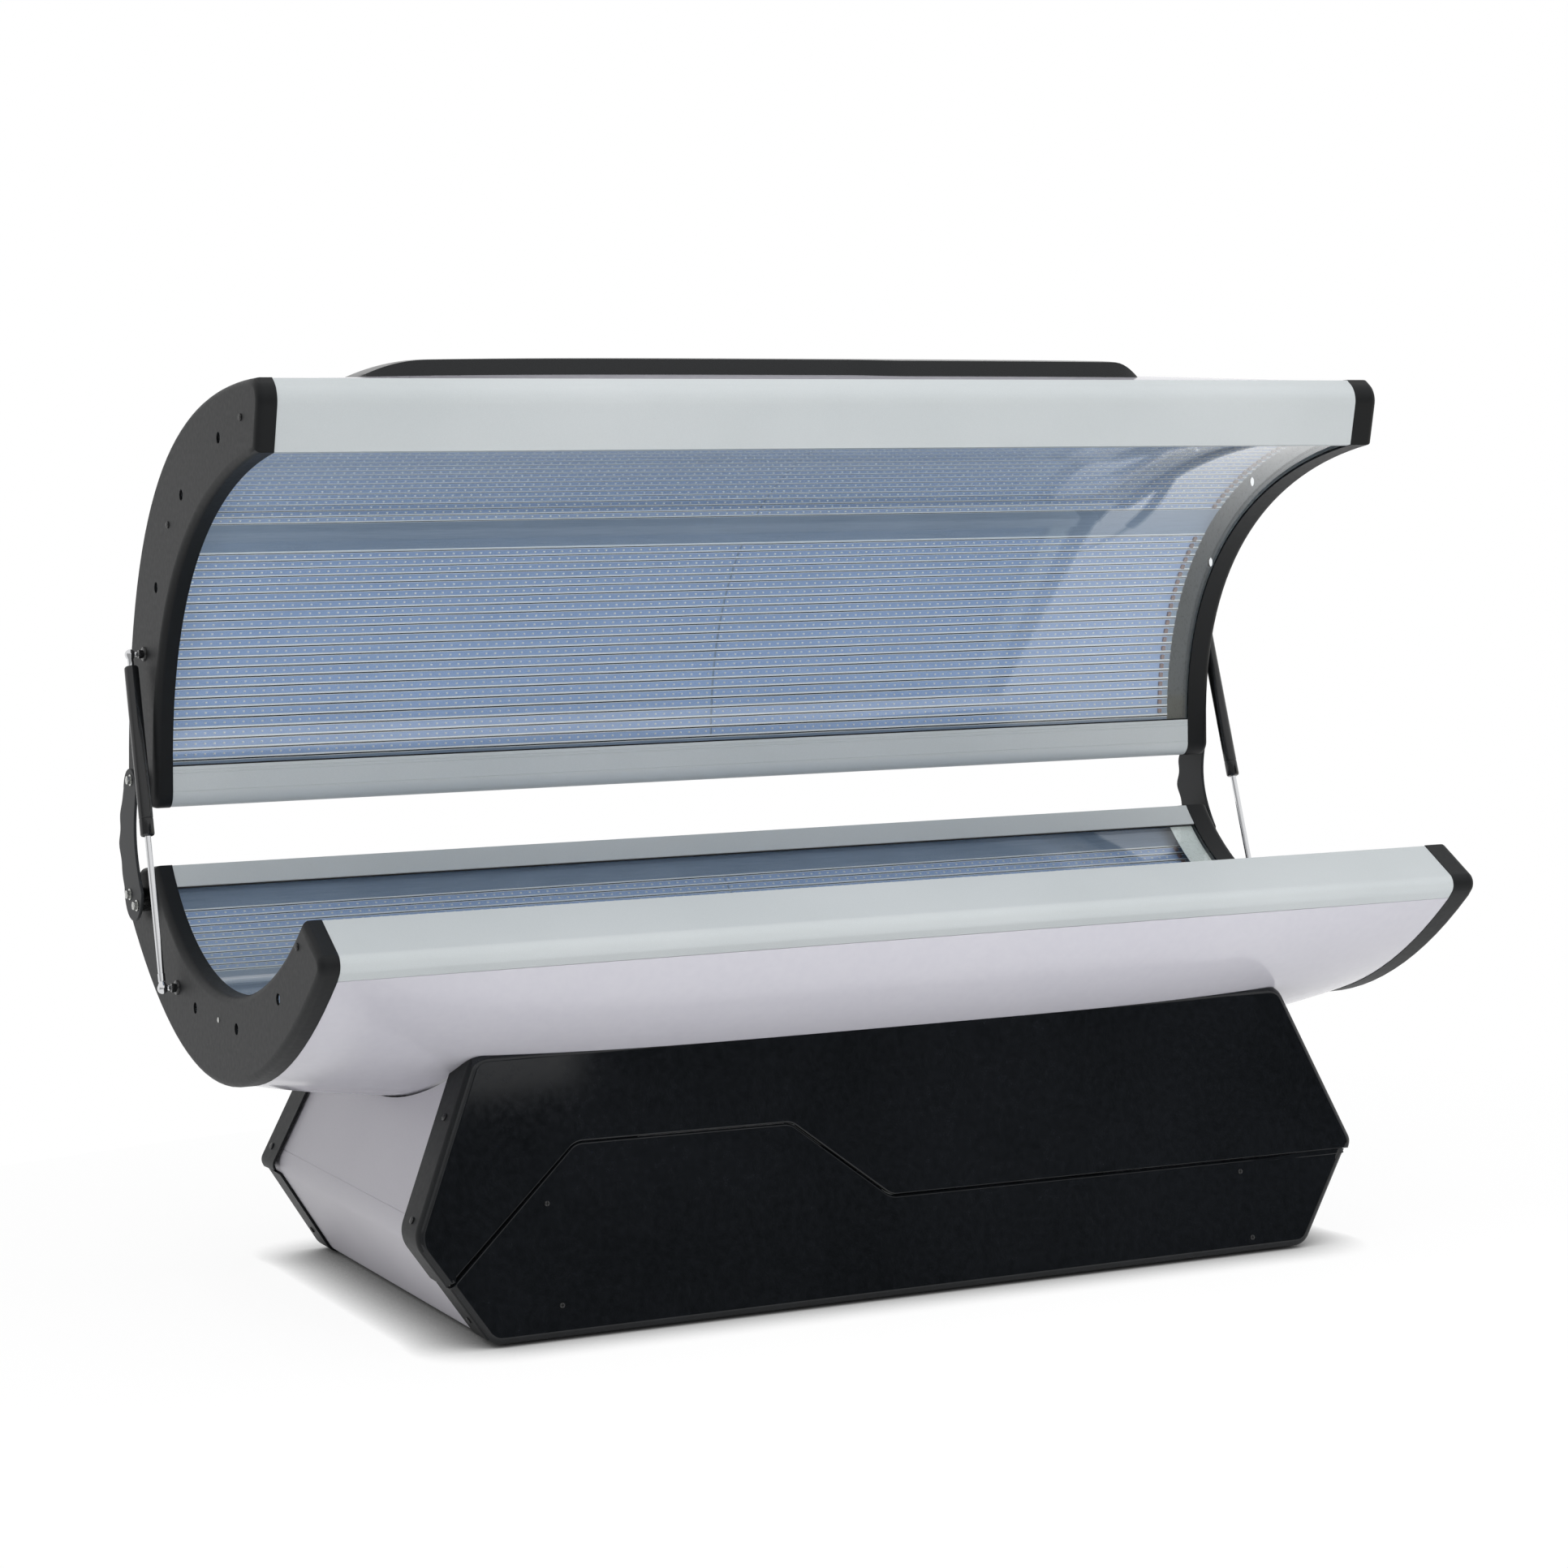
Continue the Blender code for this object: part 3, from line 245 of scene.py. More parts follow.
# %% [markdown]
# ## Studio
# A white sweep with soft light from above. For rays that reach it straight from the camera, off a shiny
# surface or through glass, the floor glows a little by itself, so that it stays white under the overhang
# and metal and glass show that white too. An ambient occlusion node darkens it only where the base stands
# close, which is the contact shadow. The room behind the camera is kept dark in reflections: that is what
# makes the glossy front cover so black.

# %% Floor, room and lamps
FLOOR_RADIUS, FLOOR_Y = 3.4, -1.9
PAPER, PAPER_SEEN = 0.90, 1.35
NEAR_GLOW, FADE = 0.92, (1.3, 2.6)
NOOK, NOOK_POWER = 0.10, 1.5
ROOM_DARK, ROOM_GREY = 0.02, 0.40
WARM = (0.92, 0.87, 0.74, 1.0)
AMBIENT = 0.40


def grey(level):
    return (level, level, level, 1.0)


def maths(operation, first, second):
    return node(tree, "ShaderNodeMath", {0: first, 1: second}, operation=operation).outputs[0]


def ramp(value, start, end, low=0.0, high=1.0):
    """A value that eases from low to high between start and end."""
    eased = node(
        tree,
        "ShaderNodeMapRange",
        {"Value": value, "From Min": start, "From Max": end, "To Min": low, "To Max": high},
        interpolation_type="SMOOTHSTEP",
    )
    return eased.outputs["Result"]


def mix(share, first, second):
    colours = {"Factor": share, 6: first, 7: second}
    return node(tree, "ShaderNodeMix", colours, data_type="RGBA").outputs[2]


bpy.ops.object.select_all(action="DESELECT")
bpy.ops.mesh.primitive_circle_add(
    vertices=64, radius=FLOOR_RADIUS, fill_type="NGON", location=(0, FLOOR_Y, 0)
)
bpy.ops.object.transform_apply(location=True, rotation=True, scale=True)
floor = bpy.context.object
floor.name = "studio_floor"
paper = bpy.data.materials.new("white_paper")
paper.use_nodes = True
tree = paper.node_tree
tree.nodes.remove(tree.nodes["Principled BSDF"])
rays = node(tree, "ShaderNodeLightPath").outputs
mirrored = maths("MAXIMUM", rays["Is Glossy Ray"], rays["Is Transmission Ray"])
seen = maths("MAXIMUM", rays["Is Camera Ray"], mirrored)
nook = node(tree, "ShaderNodeAmbientOcclusion", {"Distance": NOOK}, samples=8)
contact = maths("POWER", nook.outputs["AO"], NOOK_POWER)
tone = mix(seen, grey(PAPER), maths("MULTIPLY", contact, PAPER_SEEN))
matt = node(tree, "ShaderNodeBsdfDiffuse", {"Color": tone})
glow = node(tree, "ShaderNodeEmission", {"Color": contact, "Strength": 1.0})
spread = node(tree, "ShaderNodeTexCoord").outputs["Object"]
away = node(tree, "ShaderNodeVectorMath", {0: spread}, operation="LENGTH").outputs["Value"]
own_glow = maths("MULTIPLY", ramp(away, *FADE, NEAR_GLOW, 1.0), seen)
paper_mix = node(
    tree,
    "ShaderNodeMixShader",
    {0: own_glow, 1: matt.outputs["BSDF"], 2: glow.outputs["Emission"]},
)
tree.links.new(paper_mix.outputs["Shader"], tree.nodes["Material Output"].inputs["Surface"])
floor.data.materials.append(paper)

world = bpy.data.worlds.new("studio")
bpy.context.scene.world = world
world.use_nodes = True
tree = world.node_tree
sky = tree.nodes["Background"]
rays = node(tree, "ShaderNodeLightPath").outputs
way = node(tree, "ShaderNodeTexCoord")
axis = node(tree, "ShaderNodeSeparateXYZ", {"Vector": way.outputs["Generated"]}).outputs


def zone(*limits):
    """A soft box of directions: each limit is an axis with the values where it starts and is full."""
    share = 1.0
    for name, start, end in limits:
        share = maths("MULTIPLY", share, ramp(axis[name], start, end))
    return share


ahead = zone(("Y", -0.55, -0.68), ("X", 0.05, 0.20))
high_dark = zone(("Z", 0.00, 0.05), ("Z", 0.34, 0.26))
low_dark = zone(("Z", -0.45, -0.35), ("Z", 0.05, 0.00), ("X", 0.487, 0.480))
veil = zone(("X", 0.480, 0.487), ("Z", 0.08, 0.02), ("Y", 0.10, -0.10))
left_grey = zone(("X", 0.10, -0.10), ("Z", 0.55, 0.30), ("Y", 0.10, -0.10))
window = zone(("X", 0.338, 0.348), ("X", 0.378, 0.370), ("Z", 0.176, 0.184), ("Z", 0.225, 0.210))
room = mix(veil, grey(1.0), WARM)
room = mix(left_grey, room, grey(ROOM_GREY))
room = mix(maths("MULTIPLY", ahead, maths("MAXIMUM", high_dark, low_dark)), room, grey(ROOM_DARK))
room = mix(maths("MULTIPLY", ahead, window), room, grey(1.0))
mirrored = maths("MAXIMUM", rays["Is Glossy Ray"], rays["Is Transmission Ray"])
backdrop = mix(mirrored, grey(AMBIENT), room)
backdrop = mix(rays["Is Camera Ray"], backdrop, grey(1.0))
tree.links.new(backdrop, sky.inputs["Color"])
sky.inputs["Strength"].default_value = 1.0

LAMPS = (
    ("overhead_softbox", (0.0, -0.4, 4.2), (0.0, 0.0, 0.6), (4.5, 3.5), 72.0),
    ("front_fill", (1.0, -5.0, 1.6), (0.0, 0.0, 0.8), (4.0, 2.4), 135.0),
    ("low_left_fill", (-3.2, -0.6, 0.25), (-0.8, 0.0, 0.15), (2.0, 0.8), 9.0),
)
for name, source, target, size, power in LAMPS:
    light = bpy.data.lights.new(name, "AREA")
    light.shape = "RECTANGLE"
    light.size, light.size_y = size
    light.energy = power
    softbox = bpy.data.objects.new(name, light)
    softbox.location = source
    softbox.visible_glossy = False
    softbox.rotation_euler = (Vector(target) - Vector(source)).to_track_quat("-Z", "Y").to_euler()
    bpy.context.scene.collection.objects.link(softbox)
print("lamps", [name for name, *_ in LAMPS])

# %% [markdown]
# ## Drawing profiles
# Most of this bed is extruded or bent sheet, so nearly every piece starts as a line across the bed. A
# line is drawn as a Bezier curve, with its corners rounded to a real radius, and converted to a mesh
# line. Then edit mode draws it out along the bed, and modifiers give it a wall and soft edges.

# %% Drawing helpers
CURVE_STEPS = 32
STRAIGHT = 0.002


def pick(obj):
    """Makes obj the only selected object."""
    bpy.ops.object.select_all(action="DESELECT")
    obj.select_set(True)
    bpy.context.view_layer.objects.active = obj


@contextmanager
def editing(obj, mode="VERT"):
    """Opens obj in edit mode with everything selected."""
    pick(obj)
    bpy.ops.object.mode_set(mode="EDIT")
    bpy.ops.mesh.select_mode(type=mode)
    bpy.ops.mesh.select_all(action="SELECT")
    yield
    bpy.ops.object.mode_set(mode="OBJECT")


def choose(obj, kind, test):
    """In edit mode, selects the verts, edges or faces that pass a test."""
    bpy.ops.mesh.select_all(action="DESELECT")
    bm = bmesh.from_edit_mesh(obj.data)
    found = [item for item in getattr(bm, kind) if test(item)]
    for item in found:
        item.select_set(True)
    bm.select_flush_mode()
    bmesh.update_edit_mesh(obj.data)
    return len(found)


def apply(obj, kind, **settings):
    """Adds a modifier and applies it."""
    step = obj.modifiers.new(kind.lower(), kind)
    for key, value in settings.items():
        setattr(step, key, value)
    pick(obj)
    bpy.ops.object.modifier_apply(modifier=step.name)


def across(a, b):
    return Vector((0.0, a, b))


def along(a, b):
    return Vector((a, 0.0, b))


def knots(parts):
    """Knots [point, handle before, handle after] of corners (a, b), rounds (a, b, radius), curves."""
    ends = [(part[0], part[3]) if len(part) == 4 else (part[:2], part[:2]) for part in parts]
    made = []
    for index, part in enumerate(parts):
        if len(part) == 4:
            a, b, c, d = (Vector(point) for point in part)
            made += [[a, None, b], [d, c, None]]
        elif len(part) == 3:
            corner, radius = Vector(part[:2]), part[2]
            back = (Vector(ends[index - 1][1]) - corner).normalized()
            ahead = (Vector(ends[(index + 1) % len(parts)][0]) - corner).normalized()
            angle = back.angle(ahead)
            reach = radius / math.tan(angle / 2)
            pull = radius * 4 / 3 * math.tan((math.pi - angle) / 4)
            first, last = corner + back * reach, corner + ahead * reach
            made += [[first, None, first - back * pull], [last, last - ahead * pull, None]]
        else:
            made.append([Vector(part), None, None])
    return made


def drawn(name, parts, closed=False, plane=across, steps=CURVE_STEPS):
    """A mesh line through corners, round corners and curves, with no points left on its straights."""
    places = knots(parts)
    bpy.ops.object.select_all(action="DESELECT")
    bpy.ops.curve.primitive_bezier_curve_add(location=(0, 0, 0))
    curve = bpy.context.object.data
    curve.resolution_u = steps
    line = curve.splines[0]
    line.use_cyclic_u = closed
    line.bezier_points.add(len(places) - 2)
    for index, (spot, before, after) in enumerate(places):
        point = line.bezier_points[index]
        point.handle_left_type = point.handle_right_type = "FREE"
        last, ahead = places[index - 1][0], places[(index + 1) % len(places)][0]
        point.co = plane(*spot)
        point.handle_left = plane(*(before or spot.lerp(last, 1 / 3)))
        point.handle_right = plane(*(after or spot.lerp(ahead, 1 / 3)))
    bpy.ops.object.convert(target="MESH")
    obj = bpy.context.object
    obj.name = obj.data.name = name
    with editing(obj):
        choose(obj, "verts", lambda v: len(v.link_edges) == 2 and v.calc_edge_angle(0.0) < STRAIGHT)
        bpy.ops.mesh.dissolve_verts()
    return obj


def sweep(obj, low, high, spans=1):
    """Draws a line across the bed out along X, facing the left of its direction."""
    with editing(obj):
        bpy.ops.transform.translate(value=(low, 0, 0))
        for _ in range(spans):
            step = {"value": ((high - low) / spans, 0, 0)}
            bpy.ops.mesh.extrude_region_move(TRANSFORM_OT_translate=step)
    first, second = obj.data.vertices[0].co, obj.data.vertices[1].co
    outside = Vector((0.0, first.z - second.z, second.y - first.y))
    strip = next(face for face in obj.data.polygons if {0, 1} <= set(face.vertices))
    if strip.normal.dot(outside) < 0:
        obj.data.flip_normals()


def wall(obj, thickness, even=True, inside=0):
    """Gives a sheet a wall behind its face; inside is the material number of the hidden side."""
    settings = {"offset": -1.0, "use_even_offset": even, "material_offset": inside}
    apply(obj, "SOLIDIFY", thickness=thickness, **settings)


def soften(obj, width, segments=3, angle=40):
    apply(
        obj,
        "BEVEL",
        width=width,
        segments=segments,
        limit_method="ANGLE",
        angle_limit=math.radians(angle),
        use_clamp_overlap=True,
    )


def smooth(obj, angle=35, weighted=True):
    """Smooth shading that keeps flat faces flat."""
    pick(obj)
    bpy.ops.object.shade_smooth_by_angle(angle=math.radians(angle))
    if weighted:
        apply(obj, "WEIGHTED_NORMAL", weight=60, keep_sharp=True)


def settle(obj, body, material, slot, *nodes):
    """Moves a piece from the base's middle into the frame and hands it to its body."""
    obj.data.transform(Matrix.Translation((0.0, -SETBACK, 0.0)))
    if len(obj.data.materials) < 2:
        obj.data.materials.clear()
        obj.data.materials.append(material)
    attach(obj, body)
    if nodes:
        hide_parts(*nodes)
    print(obj.name, len(obj.data.polygons), "faces")
    return obj


# %% [markdown]
# ## Curves of the tub and canopy
# Four Bezier curves rule the body: the hollow that a person lies in and the outside, below and above.
# Rails, sheets, trays and end caps all take stretches of these same curves, so they meet like the real
# extrusions do. A stretch of a Bezier curve is again a Bezier curve, found by blending its points.

# %% Body curves
LOWER_INNER = ((-0.399, 0.646), (-0.147, 0.426), (0.196, 0.453), (0.358, 0.652))
LOWER_OUTER = ((0.500, 0.556), (0.202, 0.287), (-0.147, 0.278), (-0.466, 0.566))
CANOPY_INNER = ((0.350, 0.800), (0.357, 1.115), (0.111, 1.271), (-0.190, 1.319))
CANOPY_OUTER = ((-0.182, 1.430), (0.180, 1.420), (0.510, 1.305), (0.508, 0.790))
LOWER_NOSE, LOWER_SHOULDER = (-0.490, 0.594, 0.019), (0.445, 0.640, 0.022)
CANOPY_NOSE = (-0.211, 1.410, 0.034)
HEEL_BACK, HEEL_FRONT = (0.508, 0.745, 0.040), (0.350, 0.745, 0.024)
CAP_FACE, CAP_WALL, CAP_GAP = 1.000, 0.004, 0.0003
CAP_DEPTH = {-1: 0.0310, 1: 0.0450}
LEFT_END, RIGHT_END = (side * (CAP_FACE - depth - CAP_GAP) for side, depth in CAP_DEPTH.items())
MIDDLE, REACH = (LEFT_END + RIGHT_END) / 2, (RIGHT_END - LEFT_END) / 2
SAMPLES = 240


def blended(curve, *shares):
    """The point where a curve's control points meet when they are blended by three shares in turn."""
    row = [Vector(point) for point in curve]
    for share in shares:
        row = [a.lerp(b, share) for a, b in zip(row, row[1:])]
    return row[0]


def samples(curve):
    return [blended(curve, i / SAMPLES, i / SAMPLES, i / SAMPLES) for i in range(SAMPLES + 1)]


def length(line):
    return sum((b - a).length for a, b in zip(line, line[1:]))


def share_at(curve, distance):
    """The share of the curve's parameter that lies this far along it."""
    line = samples(curve)
    for index, (a, b) in enumerate(zip(line, line[1:])):
        step = (b - a).length
        if distance <= step:
            return (index + distance / step) / SAMPLES
        distance -= step
    return 1.0


def stretch(curve, start, end):
    """The part of a curve between two distances along it."""
    s, e = share_at(curve, start), share_at(curve, end)
    blends = ((s, s, s), (s, s, e), (s, e, e), (e, e, e))
    return tuple(tuple(blended(curve, *shares)) for shares in blends)


LOWER_LENGTH = length(samples(LOWER_INNER))
CANOPY_LENGTH = length(samples(CANOPY_INNER))
print("inner curves", round(LOWER_LENGTH, 3), round(CANOPY_LENGTH, 3))

# %% [markdown]
# ## Aluminium rails
# Four extrusions frame the tub and canopy and hold the acrylic by a short lip. Drawing the section and
# extruding it is exactly how they are made. The wall comes from Solidify, and a small bevel on the cut
# edges catches a thread of light along each rail.

# %% Rails
RAIL_WALL, RAIL_LIP, LOWER_FACE = 0.003, 0.012, 0.030
RAIL_EDGE = 0.0003
# Heights of the fine grooves in the heel rail: one crease at its bend, two in its lip.
HEEL_GROOVES = (0.7705, 0.8000, 0.8050)
GROOVE_WIDTH, GROOVE_DEPTH = 0.0018, 0.0006


def grooved(y, heights):
    """Points up an upright face with a shallow groove at each height."""
    points = []
    for z in heights:
        inner = ((y, z), (y + GROOVE_DEPTH, z + 0.0004), (y + GROOVE_DEPTH, z + GROOVE_WIDTH - 0.0004))
        points += [*inner, (y, z + GROOVE_WIDTH)]
    return points


RAILS = {
    "lower_front_rail": ("bed", [LOWER_OUTER[3], LOWER_NOSE, stretch(LOWER_INNER, 0.0, RAIL_LIP)]),
    "lower_rear_rail": (
        "bed",
        [
            stretch(LOWER_INNER, LOWER_LENGTH - LOWER_FACE - RAIL_LIP, LOWER_LENGTH),
            LOWER_SHOULDER,
            LOWER_OUTER[0],
        ],
    ),
    "canopy_front_rail": (
        "canopy",
        [stretch(CANOPY_INNER, CANOPY_LENGTH - RAIL_LIP, CANOPY_LENGTH), CANOPY_NOSE, CANOPY_OUTER[0]],
    ),
    "canopy_rear_rail": (
        "canopy",
        [CANOPY_OUTER[3], HEEL_BACK, HEEL_FRONT, *grooved(0.350, HEEL_GROOVES), (0.3505, 0.812)],
    ),
}
for name, (body, parts) in RAILS.items():
    rail = drawn(name + "_section", parts)
    sweep(rail, LEFT_END, RIGHT_END)
    wall(rail, RAIL_WALL)
    soften(rail, RAIL_EDGE, 2, 50)
    smooth(rail, 30)
    settle(rail, body, SATIN_ALUMINIUM, "satin_aluminium", name)

# %% [markdown]
# ## White shells
# The belly and the crown are glossy mouldings that swell between their four edges like a pillow. The
# curve is drawn out in many spans, and Displace pushes each point out along its normal by a weight that
# falls to nothing at the edges, which keeps the rim exactly on the rails and caps.

# %% Shells
SHELL_SPANS, SHELL_WALL, SHELL_SEAM = 40, 0.004, 0.0012
# The crown swells a touch less than the solid's, whose flat facets stay inside their curve.
BELLY_BULGE, CROWN_BULGE = 0.052, 0.0302


def swelling(x, share):
    """How much of the bulge applies: nothing at an edge, all of it in the middle."""
    return (1 - ((x - MIDDLE) / REACH) ** 4) * (1 - (2 * share - 1) ** 4)


def pillow(name, curve, bulge):
    """A sheet along a curve, trimmed to leave a seam, swollen in the middle."""
    sheet = drawn(name, [stretch(curve, SHELL_SEAM, length(samples(curve)) - SHELL_SEAM)], steps=40)
    line = [vert.co.copy() for vert in sheet.data.vertices]
    total, walked, shares = length(line), 0.0, {}
    for index, point in enumerate(line):
        walked += (point - line[index - 1]).length if index else 0.0
        shares[round(point.y, 5), round(point.z, 5)] = walked / total
    sweep(sheet, LEFT_END, RIGHT_END, SHELL_SPANS)
    group = sheet.vertex_groups.new(name="bulge")
    for vert in sheet.data.vertices:
        share = shares[round(vert.co.y, 5), round(vert.co.z, 5)]
        group.add([vert.index], max(0.0, swelling(vert.co.x, share)), "REPLACE")
    apply(sheet, "DISPLACE", strength=bulge, mid_level=0.0, vertex_group="bulge")
    return sheet


BELLY_SEAT, BELLY_REACH = 0.0005, 0.160
belly = pillow("belly_shell", LOWER_OUTER, BELLY_BULGE)
pick(belly)
bpy.ops.object.duplicate()
belly_cut = bpy.context.object
belly_cut.name = "belly_cutter"
with editing(belly_cut):
    bpy.ops.transform.shrink_fatten(value=BELLY_SEAT)
wall(belly_cut, BELLY_REACH)
wall(belly, SHELL_WALL)
smooth(belly, 40, False)
settle(belly, "bed", WHITE_GLOSS, "white_gloss_abs", "lower_shell")
crown = pillow("crown_shell", CANOPY_OUTER, CROWN_BULGE)
wall(crown, SHELL_WALL)
smooth(crown, 40, False)
settle(crown, "canopy", WHITE_GLOSS, "white_gloss_abs", "canopy_shell")

# %% [markdown]
# ## End caps
# Each end is closed by a black moulding, a hollow tray the shape of the whole section. The section is
# drawn as one closed line and extruded by the cap's depth, grown a little so the cap stands proud of
# the rails, filled on the outside and given its wall. Small insets, each a little further out, roll the
# rim over to the face. Cylinders cut the holes. The right cap reaches further over the rails.

# %% End caps
CAP_PROUD, CAP_ROUND, CAP_STEPS = 0.0009, 0.012, 6
HOLE_RADIUS, HOLE_REACH = 0.009, 0.02
LOWER_RING = [LOWER_INNER, LOWER_SHOULDER, LOWER_OUTER, LOWER_NOSE]
CANOPY_RING = [CANOPY_OUTER, HEEL_BACK, HEEL_FRONT, CANOPY_INNER, CANOPY_NOSE]
LOWER_HOLES = ((-0.290, 0.521), (-0.086, 0.450), (0.128, 0.454))
CANOPY_HOLES = ((-0.010, 1.342), (0.190, 1.253), (0.334, 1.103))
SIDES = (("left", -1), ("right", 1))


def pin(name, centre, low, high, radius, sides=32):
    """A cylinder along X through a point across the bed."""
    bpy.ops.object.select_all(action="DESELECT")
    bpy.ops.mesh.primitive_cylinder_add(
        vertices=sides,
        radius=radius,
        depth=abs(high - low),
        location=((low + high) / 2, *centre),
        rotation=(0.0, math.pi / 2, 0.0),
    )
    obj = bpy.context.object
    obj.name = name
    bpy.ops.object.transform_apply(location=True, rotation=True, scale=True)
    return obj


def cut(obj, cutter):
    """Takes a cutter's shape out of obj and throws the cutter away."""
    apply(obj, "BOOLEAN", operation="DIFFERENCE", solver="EXACT", object=cutter)
    bpy.data.objects.remove(cutter)


def rim_bevel(obj, weights, width, segments=6):
    """Rounds the edges listed with a share of the width."""
    layer = obj.data.attributes.new("bevel_weight_edge", "FLOAT", "EDGE")
    for index, share in weights.items():
        layer.data[index].value = share
    apply(obj, "BEVEL", width=width, segments=segments, limit_method="WEIGHT", use_clamp_overlap=False)


def round_over(obj, radius, steps, test):
    """Rounds the rim of the face that passes a test: insets step in and up a quarter circle."""
    with editing(obj, "FACE"):
        choose(obj, "faces", test)
        for step in range(steps):
            before, after = (math.pi / 2 * i / steps for i in (step, step + 1))
            bpy.ops.mesh.inset(
                thickness=radius * (math.cos(before) - math.cos(after)),
                depth=radius * (math.sin(after) - math.sin(before)),
                use_even_offset=True,
            )


def cap(name, parts, side, holes):
    obj = drawn(name + "_moulding", parts, closed=True)
    rim = CAP_FACE - CAP_ROUND
    sweep(obj, side * (CAP_FACE - CAP_DEPTH[side]), side * rim)
    with editing(obj, "EDGE"):
        bpy.ops.transform.shrink_fatten(value=CAP_PROUD, use_even_offset=True)
        choose(obj, "edges", lambda e: all(abs(v.co.x) > rim - 0.001 for v in e.verts))
        bpy.ops.mesh.edge_face_add()
        bpy.ops.mesh.select_all(action="SELECT")
        bpy.ops.mesh.normals_make_consistent(inside=False)
    face = max(obj.data.polygons, key=lambda p: len(p.vertices))
    if face.normal.x * side < 0:
        obj.data.flip_normals()
    round_over(obj, CAP_ROUND, CAP_STEPS, lambda f: len(f.verts) > 4)
    obj.data.materials.append(BLACK_MATT)
    # The hidden inner side takes the pale colour with its painted reflection.
    obj.data.materials.append(PALE_LINER_PAINTED_REFLECTION)
    wall(obj, CAP_WALL, inside=1)
    for index, centre in enumerate(holes):
        reach = sorted((side * (CAP_FACE - HOLE_REACH), side * (CAP_FACE + HOLE_REACH)))
        cut(obj, pin(f"{name}_hole_{index}", centre, *reach, HOLE_RADIUS))
    smooth(obj, 30)
    return obj


for side_name, side in SIDES:
    lower = cap(f"lower_{side_name}_cap", LOWER_RING, side, LOWER_HOLES)
    settle(lower, "bed", BLACK_MATT, "black_gloss_abs", f"lower_{side_name}_cap")
    upper = cap(f"canopy_{side_name}_cap", CANOPY_RING, side, CANOPY_HOLES)
    settle(upper, "canopy", BLACK_MATT, "black_gloss_abs", f"canopy_{side_name}_cap")

# %% [markdown]
# ## Acrylic sheets and lamp trays
# Behind the rails lies the clear sheet, and 26 mm behind that the tray with the lamps. Both are the
# inner curve moved back along its own normals, which shrink and fatten does in one step. A pale strip
# under the sheet at the right end of the tub is a painted reflection of the bright cap inside.

# %% Sheets and trays
SHEET_LIFT, SHEET_THICK, LAMP_GAP, TRAY_WALL = 0.0037, 0.005, 0.026, 0.002
TRAY_LIFT = SHEET_LIFT + SHEET_THICK + LAMP_GAP
TRAY_LEFT, TRAY_RIGHT = LEFT_END + 0.004, 0.931
SHEETS = {
    "lower_acrylic": ("bed", stretch(LOWER_INNER, RAIL_WALL, LOWER_LENGTH - LOWER_FACE)),
    "canopy_acrylic": ("canopy", stretch(CANOPY_INNER, 0.0, CANOPY_LENGTH - RAIL_WALL)),
}
for name, (body, curve) in SHEETS.items():
    sheet = drawn(name + "_sheet", [curve], steps=48)
    sweep(sheet, LEFT_END, RIGHT_END)
    with editing(sheet):
        bpy.ops.transform.shrink_fatten(value=-SHEET_LIFT)
    wall(sheet, SHEET_THICK)
    smooth(sheet, 30)
    settle(sheet, body, CLEAR_ACRYLIC, "clear_acrylic", name)

tray_lines = {}
TRAYS = (("lower_led_tray", "bed", LOWER_INNER), ("canopy_led_tray", "canopy", CANOPY_INNER))
for name, body, curve in TRAYS:
    tray = drawn(name + "_sheet", [curve], steps=64)
    count = len(tray.data.vertices)
    sweep(tray, TRAY_LEFT, TRAY_RIGHT)
    with editing(tray):
        bpy.ops.transform.shrink_fatten(value=-TRAY_LIFT)
    tray_lines[name] = [Vector((v.co.y, v.co.z)) for v in tray.data.vertices[:count]]
    wall(tray, TRAY_WALL)
    smooth(tray, 30)
    settle(tray, body, LAMP_TRAY, "lamp_tray_aluminium", name)
# A pale strip under the tub's sheet at its right end: a painted reflection of the bright cap inside.
REFLECTION_WALL, REFLECTION_LEFT, REFLECTION_DROP, REFLECTION_MARGIN = 0.0012, 0.908, 0.0010, 0.030
reflection_curve = stretch(LOWER_INNER, REFLECTION_MARGIN, LOWER_LENGTH - REFLECTION_MARGIN)
reflection_strip = drawn("tub_end_painted_reflection", [reflection_curve], steps=48)
sweep(reflection_strip, REFLECTION_LEFT, RIGHT_END - REFLECTION_WALL)
with editing(reflection_strip):
    bpy.ops.transform.shrink_fatten(value=-SHEET_LIFT - SHEET_THICK - REFLECTION_DROP)
wall(reflection_strip, REFLECTION_WALL)
smooth(reflection_strip, 30)
settle(reflection_strip, "bed", PALE_LINER_PAINTED_REFLECTION, "white_gloss_abs")
print("tray lines", {name: round(length(line), 3) for name, line in tray_lines.items()})

# %% [markdown]
# ## LED rows
# Each tray carries rows of narrow boards, parted by thin pale dividers whose near white is partly a
# painted highlight, with a black strip in the slot beside each as painted shadow. One divider, one board
# pair and one row of LEDs are modelled flat, then copied to every row: a place along the tray's curve
# and the normal there give each copy its position and tilt. An LED has only sixteen faces, since there
# are thousands of them.

# %% LED rows
ROW_PITCH = 0.017
BOARD_WIDTH, BOARD_THICK, BOARD_JOINT = 0.0110, 0.0012, 0.004
